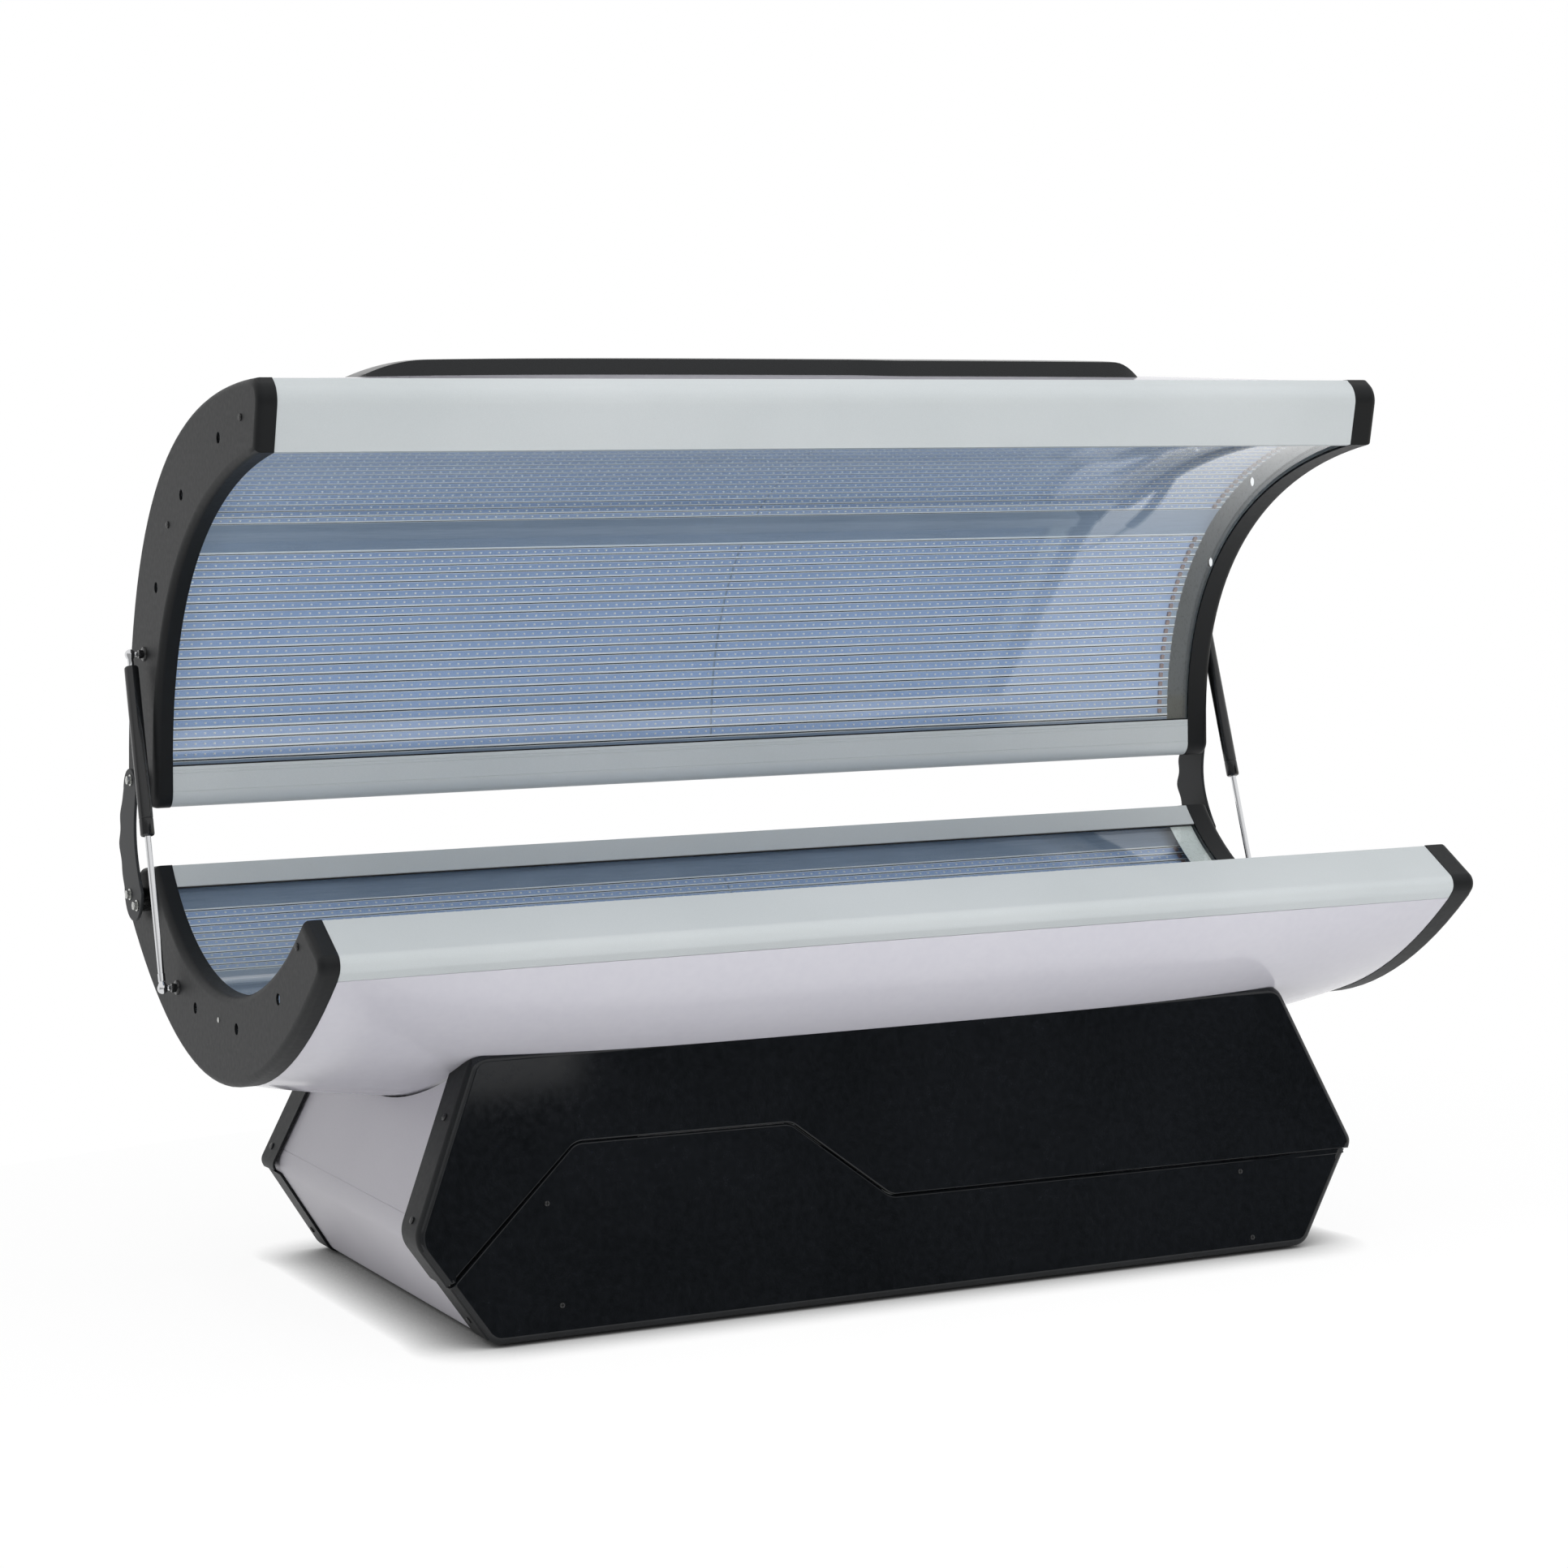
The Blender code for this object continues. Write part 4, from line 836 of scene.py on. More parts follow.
# Strips between two boards as (width, height, place from the row's border).
# The slot strip is black as painted shadow; the rib and lip strips are near white, partly painted
# highlight.
RIB, SLOT_SHADOW, LIP = (0.0026, 0.0014, 0.0011), (0.0022, 0.0011, -0.0013), (0.0008, 0.0012, -0.0028)
BOARD_PLACE = 0.0081
BOARD_LEFT, BOARD_RIGHT, LED_MARGIN = TRAY_LEFT + 0.001, TRAY_RIGHT - 0.012, 0.010
LED_PITCH, LED_SIZE, LED_HEIGHT = 0.016, 0.0036, 0.0008
LED_LENS_RADIUS, LED_LENS_HEIGHT = 0.0014, 0.0010
PLUG_SIZE, PLUG_INSET, FINE_EDGE = (0.007, 0.008, 0.004), 0.006, 0.0004
REAR_START, REAR_ROWS, FRONT_ROWS, CANOPY_BAR = 0.020, 22, 20, 0.075
SIDE_ROWS, LOWER_MARGIN = 9, 0.070


def spot(line, distance):
    """The point this far along a line across the bed, and the left normal there."""
    for a, b in zip(line, line[1:]):
        step = (b - a).length
        if distance <= step or b is line[-1]:
            t = (b - a).normalized()
            return a + t * distance, Vector((-t.y, t.x))
        distance -= step


def seat(line, distance, lift=0.0):
    """The matrix that stands a flat piece on the line: its Y runs along the line and its Z out of it."""
    point, normal = spot(line, distance)
    point = point + normal * lift
    t = Vector((normal.y, -normal.x))
    return Matrix(
        ((1, 0, 0, 0), (0, t.x, normal.x, point.x), (0, t.y, normal.y, point.y), (0, 0, 0, 1))
    )


def block(name, size, centre, edge=0.0):
    """A box with softened edges."""
    bpy.ops.object.select_all(action="DESELECT")
    bpy.ops.mesh.primitive_cube_add(size=1.0, location=centre)
    obj = bpy.context.object
    obj.name = name
    obj.scale = size
    bpy.ops.object.transform_apply(location=True, rotation=True, scale=True)
    if edge:
        soften(obj, edge, 2)
    return obj


def joined(name, pieces):
    """Joins pieces into the first of them."""
    bpy.ops.object.select_all(action="DESELECT")
    for piece in pieces:
        piece.select_set(True)
    bpy.context.view_layer.objects.active = pieces[0]
    if len(pieces) > 1:
        bpy.ops.object.join()
    obj = bpy.context.object
    obj.name = obj.data.name = name
    return obj


def copies(name, pattern, places):
    """One object made of a copy of the pattern at each place."""
    made = []
    for place in places:
        twin = pattern.copy()
        twin.data = pattern.data.copy()
        twin.data.transform(place)
        bpy.context.scene.collection.objects.link(twin)
        made.append(twin)
    bpy.data.objects.remove(pattern)
    return joined(name, made)


def led():
    """A pale package with a low lens."""
    package = block("led", (LED_SIZE, LED_SIZE * 0.8, LED_HEIGHT), (0, 0, LED_HEIGHT / 2))
    bpy.ops.mesh.primitive_cone_add(
        vertices=8,
        radius1=LED_LENS_RADIUS,
        radius2=LED_LENS_RADIUS / 2,
        depth=LED_LENS_HEIGHT,
        location=(0, 0, LED_HEIGHT + LED_LENS_HEIGHT / 2),
    )
    bpy.ops.object.transform_apply(location=True, rotation=True, scale=True)
    return joined("led", [package, bpy.context.object])


tub_end = length(tray_lines["lower_led_tray"]) - LOWER_MARGIN - SIDE_ROWS * ROW_PITCH
FIELDS = {
    "lower_led_tray": ("bed", ((LOWER_MARGIN, SIDE_ROWS), (tub_end, SIDE_ROWS))),
    "canopy_led_tray": (
        "canopy",
        ((REAR_START, REAR_ROWS), (REAR_START + REAR_ROWS * ROW_PITCH + CANOPY_BAR, FRONT_ROWS)),
    ),
}
for name, (body, fields) in FIELDS.items():
    line = tray_lines[name]
    label = body if body == "canopy" else "tub"
    borders = [start + row * ROW_PITCH for start, count in fields for row in range(count + 1)]
    rows = [start + row * ROW_PITCH + BOARD_PLACE for start, count in fields for row in range(count)]
    for strip_name, material, (width, height, place) in (
        ("dividers", PALE_RIB_PAINTED_HIGHLIGHT, RIB),
        ("slots", PAINTED_SLOT_SHADOW, SLOT_SHADOW),
        ("lips", PALE_RIB_PAINTED_HIGHLIGHT, LIP),
    ):
        strip_size = (TRAY_RIGHT - TRAY_LEFT, width, height)
        strip = block("strip", strip_size, ((TRAY_LEFT + TRAY_RIGHT) / 2, 0, height / 2))
        strip = copies(f"{label}_{strip_name}", strip, [seat(line, d + place) for d in borders])
        settle(strip, body, material, "lamp_tray_aluminium")
    boards = [
        block("board", (high - low, BOARD_WIDTH, BOARD_THICK), ((low + high) / 2, 0, BOARD_THICK / 2))
        for low, high in ((BOARD_LEFT, -BOARD_JOINT / 2), (BOARD_JOINT / 2, BOARD_RIGHT))
    ]
    board = copies(f"{label}_boards", joined("board", boards), [seat(line, d) for d in rows])
    settle(board, body, LED_BOARD, "lamp_tray_aluminium")
    lamp = led()
    count = int((BOARD_RIGHT - BOARD_LEFT - 2 * LED_MARGIN) / LED_PITCH)
    lamp.data.transform(Matrix.Translation((BOARD_LEFT + LED_MARGIN, 0, 0)))
    apply(
        lamp,
        "ARRAY",
        count=count,
        use_relative_offset=False,
        use_constant_offset=True,
        constant_offset_displace=(LED_PITCH, 0, 0),
    )
    lamps = copies(f"{label}_leds", lamp, [seat(line, d, BOARD_THICK) for d in rows])
    settle(lamps, body, LED_LENS, "lamp_tray_aluminium")
    plug_centre = (BOARD_RIGHT - PLUG_INSET, 0, BOARD_THICK + PLUG_SIZE[2] / 2)
    plug = block("plug", PLUG_SIZE, plug_centre, FINE_EDGE)
    plugs = copies(f"{label}_connectors", plug, [seat(line, d) for d in rows])
    settle(plugs, body, CONNECTOR, "lamp_tray_aluminium")

# %% [markdown]
# ## Seals and painted joint shadow
# A thin black rubber bead closes the joint between each rail and its acrylic sheet. It is only two
# millimetres wide, and its black doubles as painted shadow: it draws the dark line that parts metal
# from glass all along the bed.

# %% Seals
SEAL_WIDTH, SEAL_HEIGHT = 0.0022, 0.0020
SEALS_AND_SHADE = {
    "tub_front_seal_shade": ("bed", LOWER_INNER, RAIL_LIP + SEAL_WIDTH / 2),
    "tub_rear_seal_shade": ("bed", LOWER_INNER, LOWER_LENGTH - LOWER_FACE - RAIL_LIP - SEAL_WIDTH / 2),
    "canopy_front_seal_shade": ("canopy", CANOPY_INNER, CANOPY_LENGTH - RAIL_LIP - SEAL_WIDTH / 2),
    "canopy_heel_seal_shade": ("canopy", CANOPY_INNER, RAIL_LIP + SEAL_WIDTH / 2),
}
# Each black bead is a seal and also a painted shadow line along its joint.
for name, (body, curve, distance) in SEALS_AND_SHADE.items():
    bead = block("bead", (2 * REACH, SEAL_WIDTH, SEAL_HEIGHT), (MIDDLE, 0, SEAL_HEIGHT / 2), FINE_EDGE)
    bead = copies(name, bead, [seat(samples(curve), distance, -SHEET_LIFT)])
    settle(bead, body, RUBBER, "black_rubber")

# %% [markdown]
# ## Base covers
# Front and back are dished mouldings: a leaning face with a deep rounded return, split by a stepped seam
# into an upper cover and a service cover. The outline is drawn flat, filled, leaned back, and its rim is
# extruded. Edge weights give the outer rim a wide bevel and the seam a tight one. The side returns take
# the matt skin, picked by the way their faces point.

# %% Base covers
FOOT_HALF, KNEE_HALF, TOP_HALF = 0.7125, 0.823, 0.711
KNEE_Z, TOP_Z, BASE_CLEAR = 0.162, 0.421, 0.004
BASE_DEPTH, BASE_LEAN, FLANGE = 0.810, 0.190, 0.070
COVER_WALL, COVER_ROUND, SEAM_ROUND = 0.004, 0.012, 0.003
SEAM, SEAM_RETURN, SEAM_RADIUS, SERVICE_STEP = 0.0020, 0.012, 0.030, 0.004
SEAM_LINE = ((-0.559, 0.283), (-0.201, 0.280), (-0.040, 0.156))
SEAM_LEFT_Z, SEAM_RIGHT_Z = 0.094, 0.150
CORNER_RADIUS, KNEE_RADIUS, CUT_KNEE_RADIUS = 0.030, 0.040, 0.018
# Faces turned this far towards an end belong to a cover's matt return.
RETURN_TURN = 0.6


def half_width(z):
    """Half the width of the base at a height."""
    if z < KNEE_Z:
        return FOOT_HALF + (KNEE_HALF - FOOT_HALF) * z / KNEE_Z
    return KNEE_HALF + (TOP_HALF - KNEE_HALF) * (z - KNEE_Z) / (TOP_Z - KNEE_Z)


def edge(side, z, tuck=0.0, *radius):
    return (side * (half_width(z) - tuck), z, *radius)


def spot_key(co):
    return round(co.x, 5), round(co.z, 5)


def cover(name, parts, recess):
    """A dished cover whose outline starts with its seam."""
    strip = drawn(name + "_seam", parts[: len(SEAM_LINE) + 2], plane=along, steps=10)
    seam = {spot_key(vert.co) for vert in strip.data.vertices}
    bpy.data.objects.remove(strip)
    obj = drawn(name, parts, closed=True, plane=along, steps=10)
    count = len(obj.data.vertices)
    with editing(obj, "EDGE"):
        bpy.ops.mesh.edge_face_add()
        bpy.ops.mesh.select_mode(type="EDGE")
        choose(obj, "edges", lambda e: True)
        bpy.ops.mesh.extrude_edges_move()
    face = max(obj.data.polygons, key=lambda p: len(p.vertices))
    rim = set(face.vertices)
    on_seam = {vert.index for vert in obj.data.vertices if spot_key(vert.co) in seam}
    for vert in obj.data.vertices:
        vert.co.y = -BASE_DEPTH / 2 + BASE_LEAN * vert.co.z + recess
        if vert.index not in rim:
            vert.co.y += SEAM_RETURN if vert.index in on_seam else FLANGE - recess
    obj.data.update()
    if face.normal.y > 0:
        obj.data.flip_normals()
    weights = {}
    for e in obj.data.edges:
        if set(e.vertices) <= rim:
            weights[e.index] = SEAM_ROUND / COVER_ROUND if set(e.vertices) <= on_seam else 1.0
    rim_bevel(obj, weights, COVER_ROUND, 5)
    obj.data.materials.append(BLACK_GLOSS)
    obj.data.materials.append(BLACK_MATT)
    for polygon in obj.data.polygons:
        polygon.material_index = int(abs(polygon.normal.x) > RETURN_TURN)
    wall(obj, COVER_WALL, False)
    print(name, count, "points on its outline,", len(seam), "of them on the seam")
    return obj


# Next to the seam a point nudged off the straight keeps the return at its full depth.
NOTCH, NUDGE = 0.0025, 0.0003
UPPER = [
    edge(-1, SEAM_LEFT_Z),
    *[(*point, SEAM_RADIUS) for point in SEAM_LINE],
    edge(1, SEAM_RIGHT_Z),
    edge(1, KNEE_Z, 0.0, CUT_KNEE_RADIUS),
    edge(1, TOP_Z, 0.0, CORNER_RADIUS),
    edge(-1, TOP_Z, 0.0, CORNER_RADIUS),
    edge(-1, KNEE_Z, 0.0, KNEE_RADIUS),
    edge(-1, SEAM_LEFT_Z + NOTCH, NUDGE),
]
SERVICE = [
    edge(1, SEAM_RIGHT_Z - SEAM, SERVICE_STEP),
    *[(x, z - SEAM, SEAM_RADIUS) for x, z in SEAM_LINE[::-1]],
    edge(-1, SEAM_LEFT_Z - SEAM, SERVICE_STEP),
    edge(-1, SEAM_LEFT_Z - SEAM - NOTCH, SERVICE_STEP + NUDGE),
    edge(-1, BASE_CLEAR, SERVICE_STEP, CORNER_RADIUS),
    edge(1, BASE_CLEAR, SERVICE_STEP, CORNER_RADIUS),
    edge(1, SEAM_RIGHT_Z - SEAM - NOTCH, SERVICE_STEP + NUDGE),
]


def twin(obj, name, matrix):
    """A copy with its own mesh, turned or moved in the mesh."""
    other = obj.copy()
    other.data = obj.data.copy()
    other.data.transform(matrix)
    other.name = other.data.name = name
    bpy.context.scene.collection.objects.link(other)
    return other


HALF_TURN = Matrix.Rotation(math.pi, 4, "Z")
front_upper = cover("front_cover_moulding", UPPER, 0.0)
front_service = cover("front_service_moulding", SERVICE, SERVICE_STEP)
rear_upper = twin(front_upper, "rear_cover_moulding", HALF_TURN)
rear_service = twin(front_service, "rear_service_moulding", HALF_TURN)
for obj in (front_upper, rear_upper):
    apply(obj, "BOOLEAN", operation="DIFFERENCE", solver="EXACT", object=belly_cut)
for obj, where in (
    (front_upper, "front_cover"),
    (rear_upper, "rear_cover"),
    (front_service, "front_service_cover"),
    (rear_service, "rear_service_cover"),
):
    smooth(obj, 30)
    settle(obj, "bed", BLACK_GLOSS, "black_gloss_abs", f"base_{where}")

# %% [markdown]
# ## End sheets
# Between the covers each end is one white sheet, bent at the knee and tucked behind the black returns.
# Its line is drawn in the plane of the covers, extruded along Y, and the belly is cut out of its top.

# %% End sheets
PANEL_WALL, PANEL_TUCK = 0.002, 0.0098
CREASE_Z, CREASE_DEPTH = 0.186, 0.0007
SHEET_GAP = 0.0022


def end_sheet(name, side):
    crease = [(0.0, 0.0), (0.0006, CREASE_DEPTH), (0.0018, CREASE_DEPTH), (0.0024, 0.0)]
    parts = [
        (side * (FOOT_HALF - CORNER_RADIUS * 1.33), BASE_CLEAR),
        edge(side, BASE_CLEAR, PANEL_TUCK, CORNER_RADIUS),
        edge(side, KNEE_Z, PANEL_TUCK, KNEE_RADIUS),
        *[edge(side, CREASE_Z + rise, PANEL_TUCK + depth) for rise, depth in crease],
        edge(side, TOP_Z - CORNER_RADIUS, PANEL_TUCK),
    ]
    obj = drawn(name, parts, plane=along)
    with editing(obj):
        bpy.ops.transform.translate(value=(0, -0.5, 0))
        bpy.ops.mesh.extrude_region_move(TRANSFORM_OT_translate={"value": (0, 1.0, 0)})
    if sum(face.normal.x for face in obj.data.polygons) * side < 0:
        obj.data.flip_normals()
    for vert in obj.data.vertices:
        reach = BASE_DEPTH / 2 - BASE_LEAN * vert.co.z - FLANGE / 2
        vert.co.y = math.copysign(reach, vert.co.y)
    wall(obj, PANEL_WALL)
    apply(obj, "BOOLEAN", operation="DIFFERENCE", solver="EXACT", object=belly_cut)
    smooth(obj, 30)
    return obj


with editing(belly_cut):
    bpy.ops.transform.shrink_fatten(value=SHEET_GAP)
for side_name, side in SIDES:
    panel = end_sheet(f"{side_name}_end_sheet", side)
    settle(panel, "bed", WHITE_PAINT, "white_painted_sheet", f"base_{side_name}_panel")
bpy.data.objects.remove(belly_cut)

# %% [markdown]
# ## Top cover
# A long black moulding lies on the crown: its left end sweeps down to nothing, its right end is
# chamfered, and its front edge jogs back near the middle. No extrusion gives that, so a grid is laid on
# the crown point by point: each point knows its place along the bed and around the curve, and its lift.

# %% Top cover
TOP_LEFT, TOP_RIGHT, TOP_HEIGHT = -0.812, 0.560, 0.0245
TOP_FRONT, TOP_BACK, TOP_JOG = 0.052, 0.330, 0.015
TOP_SWOOP, TOP_CHAMFER, TOP_SINK = 0.110, 0.045, 0.004
TOP_SPANS, TOP_STEPS, TOP_EDGE = 90, 12, 0.004
JOG_START, JOG_RUN = 0.03, 0.07
crown_line = samples(CANOPY_OUTER)
crown_length = length(crown_line)


def on_crown(x, distance, lift):
    """A point on the swollen crown, lifted along the curve's normal."""
    point, normal = spot(crown_line, distance)
    point = point + normal * (CROWN_BULGE * swelling(x, distance / crown_length) + lift)
    return Vector((x, *point))


def top_lift(x):
    rise = min(1.0, max(0.0, (x - TOP_LEFT) / TOP_SWOOP), max(0.0, (TOP_RIGHT - x) / TOP_CHAMFER))
    return TOP_HEIGHT * (1 - (1 - rise) ** 2)


bpy.ops.object.select_all(action="DESELECT")
bpy.ops.mesh.primitive_grid_add(x_subdivisions=TOP_SPANS, y_subdivisions=TOP_STEPS, size=1.0)
top = bpy.context.object
top.name = "top_cover_moulding"
with editing(top, "FACE"):
    bpy.ops.mesh.extrude_region_move(TRANSFORM_OT_translate={"value": (0, 0, 1.0)})
for vert in top.data.vertices:
    u, v, raised = vert.co.x + 0.5, vert.co.y + 0.5, vert.co.z > 0.5
    x = TOP_LEFT + (TOP_RIGHT - TOP_LEFT) * (0.5 - 0.5 * math.cos(math.pi * u))
    jog = TOP_JOG * min(1.0, max(0.0, (x - JOG_START) / JOG_RUN))
    lean = TOP_HEIGHT / 3 if raised else 0.0
    first, last = TOP_FRONT - jog + lean, TOP_BACK - 2 * lean
    vert.co = on_crown(x, first + (last - first) * v, top_lift(x) if raised else -TOP_SINK)
with editing(top, "FACE"):
    bpy.ops.mesh.normals_make_consistent(inside=False)
soften(top, TOP_EDGE, 4, 45)
smooth(top, 40)
settle(top, "canopy", BLACK_SATIN, "black_gloss_abs", "canopy_top_cover")

# %% [markdown]
# ## Hinge arms and bolts
# Two flat steel arms stand off the caps on spacers. The outline is a wide foot and a smaller head joined
# by a hollow front edge and a wavy back edge; it is filled, extruded to the plate's thickness and its
# edges are broken. Hexagon bolts start as six-sided cylinders with a bevel and a washer.

# %% Hinge arms
ARM_OFF, ARM_THICK = 0.015, 0.005
ARM_TOP, ARM_TOP_RADIUS = Vector((0.425, 0.770)), 0.036
ARM_END, ARM_END_RADIUS = Vector((0.408, 0.610)), 0.050
ARM_BOW, ARM_WAVE, ARM_EDGE = 0.026, 0.004, 0.0012
HEAD_PULL, FOOT_PULL = Vector((0.014, -0.045)), Vector((0.004, 0.070))
ARM_BOLTS = ((0.422, 0.602), (0.382, 0.588))
SPACER_RADIUS, SPACER_GAP = 0.010, 0.0003
# A bolt's rounds as (radius, start and end off the arm, sides, edge).
WASHER = (0.0093, 0.0, 0.0016, 40, 0.0003)
HEXAGON = (0.0075, 0.0016, 0.0072, 6, 0.0007)
TIP = (0.0040, 0.0060, 0.0078, 24, 0.0004)


def arc(centre, radius, start, end, steps=16):
    turns = [start + (end - start) * i / steps for i in range(steps + 1)]
    return [centre + radius * Vector((math.cos(a), math.sin(a))) for a in turns]


def arm_outline():
    head = arc(ARM_TOP, ARM_TOP_RADIUS, 0.0, math.pi)
    foot = arc(ARM_END, ARM_END_RADIUS, math.pi, 2 * math.pi)
    hollow = (head[-1], head[-1] + HEAD_PULL, ARM_END + FOOT_PULL, foot[0])
    front = [blended(hollow, i / 24, i / 24, i / 24) for i in range(1, 24)]
    back = []
    for step in range(1, 48):
        share = step / 48
        bow = math.sin(math.pi * share) * (ARM_BOW + ARM_WAVE * math.sin(6 * math.pi * share))
        back.append(foot[-1].lerp(head[0], share) + Vector((bow, 0.0)))
    return head + front + foot + back


def plate(name, outline, low, high):
    """A flat plate with broken edges."""
    mesh = bpy.data.meshes.new(name)
    ring = [(low, *point) for point in outline]
    mesh.from_pydata(ring, [(i, (i + 1) % len(ring)) for i in range(len(ring))], [])
    obj = bpy.data.objects.new(name, mesh)
    bpy.context.scene.collection.objects.link(obj)
    with editing(obj, "EDGE"):
        bpy.ops.mesh.edge_face_add()
        bpy.ops.mesh.extrude_region_move(TRANSFORM_OT_translate={"value": (high - low, 0, 0)})
        bpy.ops.mesh.select_all(action="SELECT")
        bpy.ops.mesh.normals_make_consistent(inside=False)
    soften(obj, ARM_EDGE, 3)
    smooth(obj, 30)
    return obj


def off(side, near, far):
    """X limits between two distances off a cap's face."""
    return sorted((side * (CAP_FACE + near), side * (CAP_FACE + far)))


def hex_bolt(name, centre, side):
    seat_x = ARM_OFF + ARM_THICK + SPACER_GAP
    rounds = []
    for radius, start, end, sides, broken in (HEXAGON, WASHER, TIP):
        turned = pin(name, centre, *off(side, seat_x + start, seat_x + end), radius, sides)
        soften(turned, broken, 2)
        rounds.append(turned)
    obj = joined(name, rounds)
    smooth(obj, 30)
    return obj


for side_name, side in SIDES:
    arm = plate(f"{side_name}_arm_plate", arm_outline(), *off(side, ARM_OFF, ARM_OFF + ARM_THICK))
    settle(arm, "bed", DARK_STEEL, "dark_painted_steel", f"{side_name}_hinge_arm")
    for label, centre, body in (
        ("pivot", PIVOT, "canopy"),
        ("arm", ARM_BOLTS[0], "bed"),
        ("arm", ARM_BOLTS[1], "bed"),
    ):
        index = "" if label == "pivot" else f"_{ARM_BOLTS.index(centre) + 1}"
        bolt = hex_bolt(f"{side_name}_{label}_hexagon{index}", centre, side)
        settle(bolt, body, ZINC, "bright_chrome", f"{side_name}_{label}_bolt{index}")
        between = off(side, SPACER_GAP, ARM_OFF - SPACER_GAP)
        sleeve = pin(f"{side_name}_{label}_sleeve{index}", centre, *between, SPACER_RADIUS)
        soften(sleeve, 0.0006, 2)
        smooth(sleeve, 30)
        settle(sleeve, body, BLACK_SCREW, "zinc_steel", f"{side_name}_{label}_spacer{index}")

# %% [markdown]
# ## Gas struts
# Each strut is turned work: a black tube with a collar, a bright rod and a ball cup at either end that
# grips a stud on the cap. A turned shape is half a section spun round an axis, so the sections are drawn
# as short lists of radius and height and spun in edit mode, then laid along the strut.

# %% Gas struts
STRUT_X = CAP_FACE + 0.024
STRUT_UPPER, STRUT_LOWER = (0.402, 0.993), (0.224, 0.474)
TUBE_RADIUS, ROD_RADIUS, TUBE_START, TUBE_LENGTH = 0.0115, 0.005, 0.020, 0.282
COLLAR, CUP_RADIUS = 0.028, 0.0085


def lathe(name, section, sides=32):
    """Spins (radius, height) points round Z."""
    mesh = bpy.data.meshes.new(name)
    edges = [(i, i + 1) for i in range(len(section) - 1)]
    mesh.from_pydata([(r, 0.0, h) for r, h in section], edges, [])
    obj = bpy.data.objects.new(name, mesh)
    bpy.context.scene.collection.objects.link(obj)
    with editing(obj):
        bpy.ops.mesh.spin(steps=sides, angle=2 * math.pi, center=(0, 0, 0), axis=(0, 0, 1))
        bpy.ops.mesh.select_all(action="SELECT")
        bpy.ops.mesh.remove_doubles(threshold=0.00001)
        bpy.ops.mesh.normals_make_consistent(inside=False)
    smooth(obj, 35, False)
    return obj


def ball(radius, steps=8):
    """Half a circle of a section, from the top down."""
    turns = [math.pi * i / steps for i in range(steps + 1)]
    return [(radius * math.sin(a), radius * math.cos(a)) for a in turns]


upper_end, lower_end = Vector(STRUT_UPPER), Vector(STRUT_LOWER)
strut_length = (lower_end - upper_end).length
strut_way = (lower_end - upper_end).normalized()


def laid(side, start):
    """The matrix that lays turned work along the strut, its Z pointing down the strut from a point."""
    z = Vector((0.0, strut_way.x, strut_way.y))
    y = z.cross(Vector((1.0, 0.0, 0.0)))
    turn = Matrix((Vector((1.0, 0.0, 0.0)), y, z)).transposed().to_4x4()
    return Matrix.Translation((side * STRUT_X, *start)) @ turn


TUBE_END = TUBE_START + TUBE_LENGTH
TUBE_SECTION = (
    (0.0, TUBE_START),
    (0.0050, TUBE_START),
    (0.0098, TUBE_START + 0.0008),
    (TUBE_RADIUS - 0.0004, TUBE_START + 0.0025),
    (TUBE_RADIUS, TUBE_START + 0.0045),
    (TUBE_RADIUS, TUBE_END - COLLAR - 0.0016),
    (TUBE_RADIUS - 0.0006, TUBE_END - COLLAR - 0.0010),
    (TUBE_RADIUS - 0.0006, TUBE_END - COLLAR),
    (TUBE_RADIUS, TUBE_END - COLLAR + 0.0006),
    (TUBE_RADIUS, TUBE_END - 0.0030),
    (TUBE_RADIUS - 0.0012, TUBE_END - 0.0008),
    (TUBE_RADIUS - 0.0030, TUBE_END),
    (ROD_RADIUS + 0.0004, TUBE_END),
    (ROD_RADIUS + 0.0004, TUBE_END - 0.004),
    (0.0, TUBE_END - 0.004),
)
ROD_SECTION = (
    (0.0, TUBE_END - 0.030),
    (ROD_RADIUS, TUBE_END - 0.030),
    (ROD_RADIUS, strut_length - 0.024),
    (0.0058, strut_length - 0.0235),
    (0.0058, strut_length - 0.0110),
    (0.0048, strut_length - 0.0100),
)
ROD_CUP = tuple((r, strut_length - h) for r, h in ball(CUP_RADIUS)[3:])


def neck_points():
    """The upper cup and its neck, from the ball's far side down to the tube."""
    cup = [(r, -h) for r, h in ball(CUP_RADIUS)[:6]]
    return (*cup, (0.0050, 0.0085), (0.0050, TUBE_START + 0.0004), (0.0, TUBE_START + 0.0004))


for side_name, side in SIDES:
    tube = lathe(f"{side_name}_strut_tube", TUBE_SECTION)
    tube.data.transform(laid(side, STRUT_UPPER))
    cylinder = f"{side_name}_cylinder"
    settle(tube, cylinder, STRUT_BLACK, "dark_painted_steel", f"{side_name}_strut_cylinder")
    neck = lathe(f"{side_name}_strut_neck", neck_points())
    neck.data.transform(laid(side, STRUT_UPPER))
    settle(neck, cylinder, CHROME, "bright_chrome")
    rod = lathe(f"{side_name}_strut_rod_and_cup", (*ROD_SECTION, *ROD_CUP))
    rod.data.transform(laid(side, STRUT_UPPER))
    settle(rod, f"{side_name}_rod", CHROME, "bright_chrome", f"{side_name}_strut_rod")

# %% [markdown]
# The studs between cup and cap are chromed at the ball and blackened at the nut. Both are turned work
# again, with a six-sided nut, and stand on the cap's face.

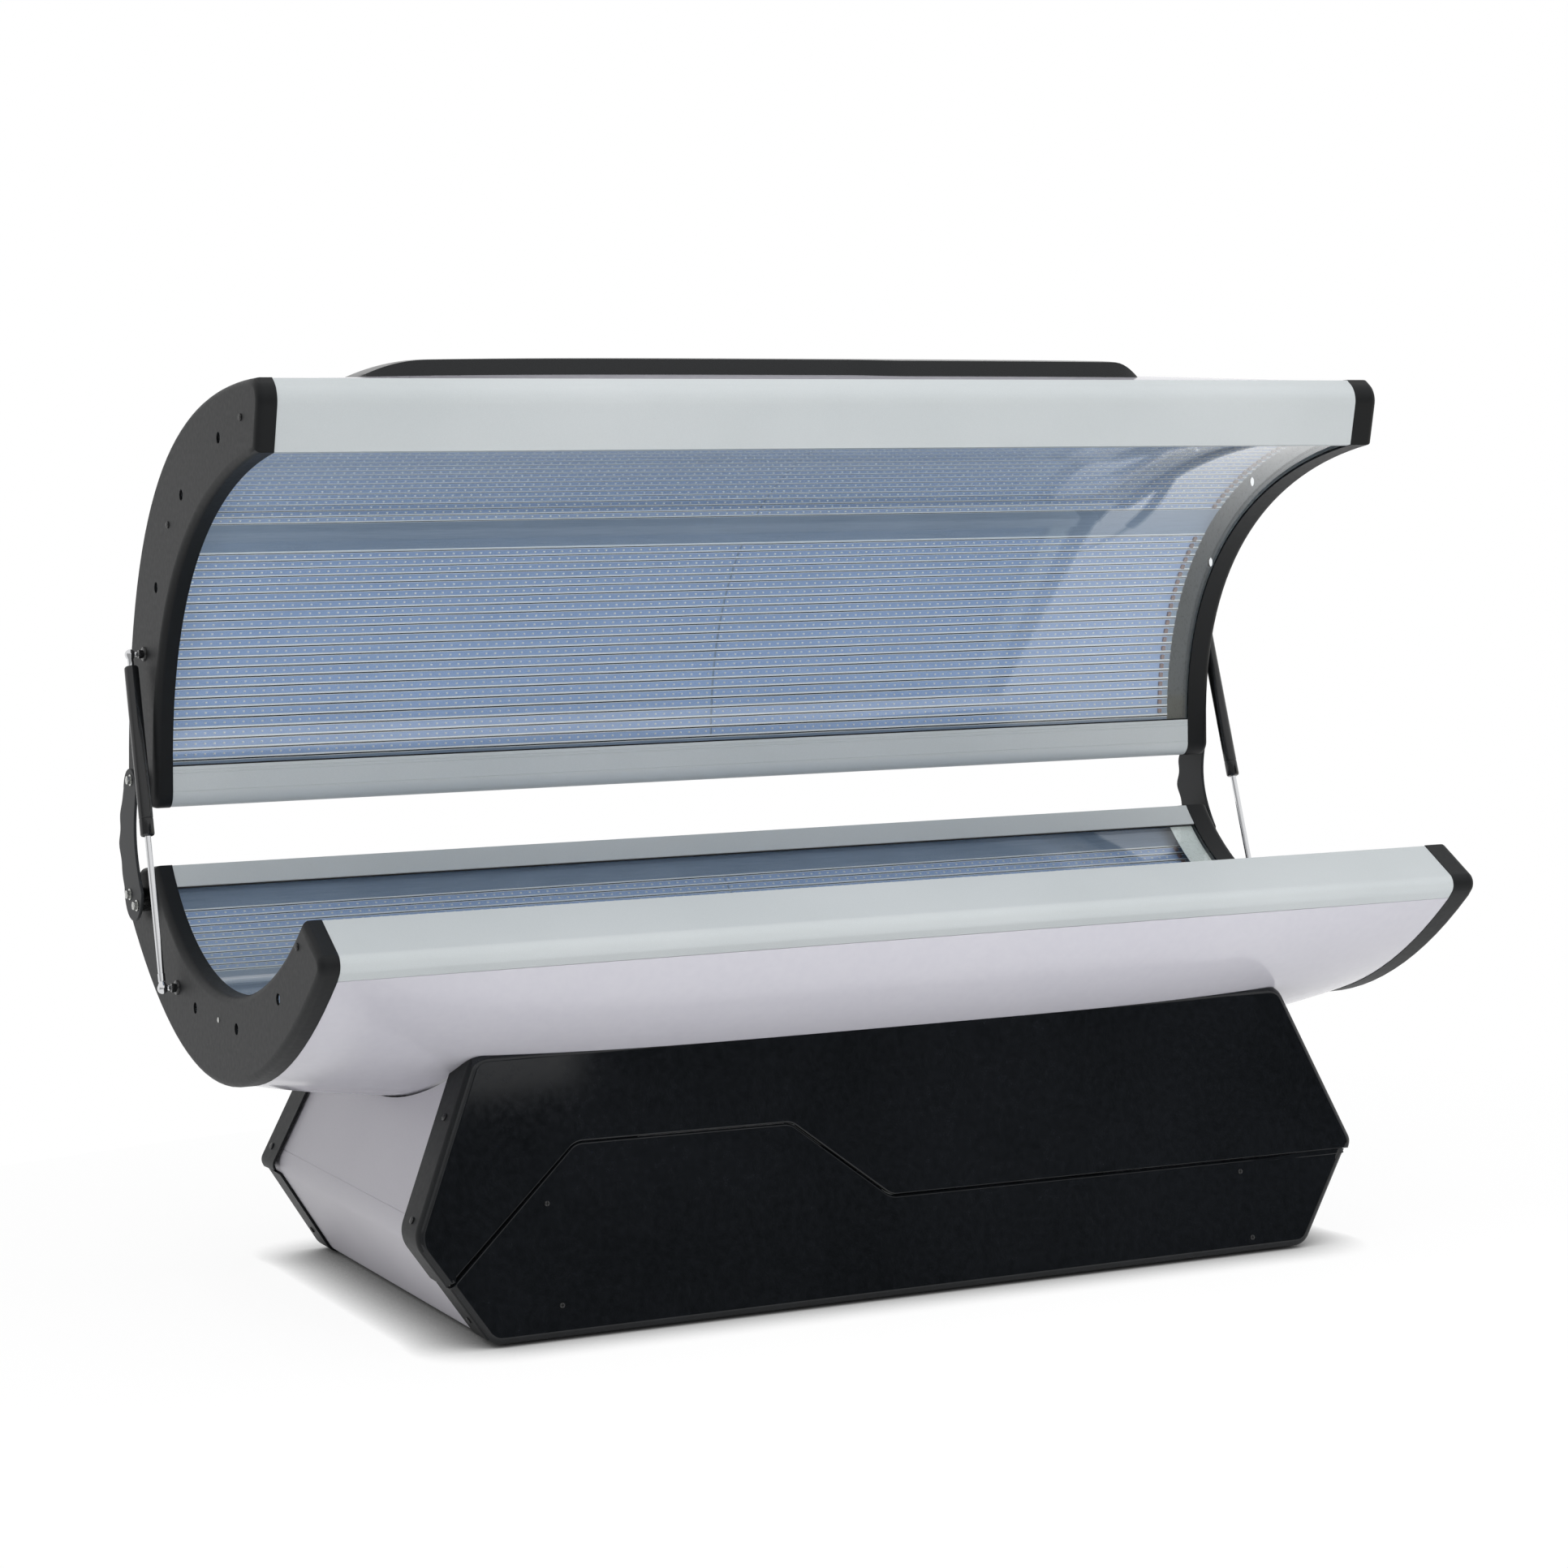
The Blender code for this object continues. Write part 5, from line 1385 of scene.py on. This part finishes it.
# %% Ball studs
STUD_NECK = ((0.0, 0.0172), (0.0026, 0.0172), (0.0030, 0.0150), (0.0042, 0.0140), (0.0042, 0.0118))
STUD_NECK += ((0.0032, 0.0112), (0.0032, 0.0060), (0.0, 0.0060))
STUD_WASHER = ((0.0, 0.0042), (0.0092, 0.0042), (0.0112, 0.0030), (0.0118, 0.0003), (0.0, 0.0003))
for side_name, side in SIDES:
    stand = Matrix.Rotation(side * math.pi / 2, 4, "Y")
    for where, centre, body in (("upper", STRUT_UPPER, "canopy"), ("lower", STRUT_LOWER, "bed")):
        place = Matrix.Translation((side * CAP_FACE, *centre)) @ stand
        neck = lathe(f"{side_name}_{where}_stud_neck", STUD_NECK, 24)
        neck.data.transform(place)
        settle(neck, body, CHROME, "bright_chrome")
        washer = lathe(f"{side_name}_{where}_stud_washer", STUD_WASHER, 28)
        washer.data.transform(place)
        nut = pin(f"{side_name}_{where}_stud_nut", centre, *off(side, 0.0042, 0.0105), 0.0078, 6)
        soften(nut, 0.0007, 2)
        nut = joined(f"{side_name}_{where}_stud_nut", [nut, washer])
        smooth(nut, 35)
        settle(nut, body, BLACK_SCREW, "bright_chrome", f"{side_name}_{where}_ball_stud")

# %% [markdown]
# ## Screws
# Small pan heads hold the caps and covers. One head is turned, slotted with a thin block and copied.
# They are easy to overlook, yet they give the mouldings their scale.

# %% Screws
# Radius and height of each kind of head, and the turns at which its dome has points.
CAP_HEAD, SMALL_HEAD, FLANGE_HEAD = (0.0058, 0.0036), (0.0042, 0.0022), (0.0055, 0.0032)
DOME_TURNS = (0.0, 0.4, 0.8, 1.2, math.pi / 2)
CAP_SCREWS = {"canopy": ((-0.125, 1.372), (0.263, 1.205)), "bed": ((-0.381, 0.608),)}
SMALL_SCREW = (0.004, 0.452)
COVER_SCREWS = ((-0.611, 0.198), (-0.599, 0.051), (0.599, 0.132), (0.609, 0.027))
FLANGE_SCREWS = (0.330, 0.188, 0.039)


def screw(radius, height):
    """A slotted pan head standing on the plane z = 0."""
    dome = [(radius * math.sin(a), height * (0.45 + 0.55 * math.cos(a))) for a in DOME_TURNS]
    head = lathe("screw_head", (*dome, (radius, 0.0), (0.0, 0.0)), 24)
    cut(head, block("slot", (radius * 0.24, radius * 2.4, height), (0, 0, height * 1.12)))
    smooth(head, 30, False)
    return head


def facing(place, normal):
    """The matrix that stands a screw on a point with its head along a direction."""
    turn = Vector(normal).to_track_quat("Z", "Y").to_matrix().to_4x4()
    return Matrix.Translation(place) @ turn


for body, centres in CAP_SCREWS.items():
    ends = [(side, centre) for _, side in SIDES for centre in centres]
    places = [facing((side * CAP_FACE, *centre), (side, 0, 0)) for side, centre in ends]
    heads = copies(f"{body}_cap_screws", screw(*CAP_HEAD), places)
    settle(heads, body, BLACK_SCREW, "black_gloss_abs")
places = [facing((side * CAP_FACE, *SMALL_SCREW), (side, 0, 0)) for _, side in SIDES]
settle(copies("tub_small_screws", screw(*SMALL_HEAD), places), "bed", ZINC, "zinc_steel")

lean_normal = Vector((0.0, -1.0, BASE_LEAN)).normalized()
below_knee = -(KNEE_HALF - FOOT_HALF) / KNEE_Z
above_knee = (KNEE_HALF - TOP_HALF) / (TOP_Z - KNEE_Z)
places, flange_places = [], []
for x, z in COVER_SCREWS:
    places.append(facing((x, -BASE_DEPTH / 2 + BASE_LEAN * z + SERVICE_STEP, z), lean_normal))
for z in FLANGE_SCREWS:
    for side in (-1, 1):
        slope = Vector((side, 0.0, below_knee if z < KNEE_Z else above_knee))
        x = half_width(z) - (SERVICE_STEP if z < SEAM_LEFT_Z else 0.0)
        y = -BASE_DEPTH / 2 + BASE_LEAN * z + FLANGE / 2
        flange_places.append(facing((side * x, y, z), slope))
both_sides = [*places, *[HALF_TURN @ p for p in places]]
cover_heads = copies("cover_screws", screw(*SMALL_HEAD), both_sides)
settle(cover_heads, "bed", BLACK_SCREW, "black_gloss_abs")
both_sides = [*flange_places, *[HALF_TURN @ p for p in flange_places]]
flange_heads = copies("flange_screws", screw(*FLANGE_HEAD), both_sides)
settle(flange_heads, "bed", BLACK_SCREW, "black_gloss_abs")

# %% [markdown]
# ## What stays from the solid model
# Frame, cradles, formers, feet and electrics are plain plates, bars and boxes hidden in the base, the
# tub and the canopy. Their solids are already right, so they only change their material.

# %% Hidden parts
KEPT = {
    FRAME_PAINT: (
        "base_frame",
        "base_left_cradle",
        "base_right_cradle",
        "lower_left_former",
        "lower_right_former",
        "canopy_left_former",
        "canopy_right_former",
    ),
    RUBBER: ("foot_front_left", "foot_front_right", "foot_rear_left", "foot_rear_right"),
    CASE: ("base_equipment_tray", "power_supply_left", "power_supply_right", "control_unit"),
}
for material, names in KEPT.items():
    for name in names:
        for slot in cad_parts[name].material_slots:
            slot.material = material
print("kept solids", sum(len(names) for names in KEPT.values()))
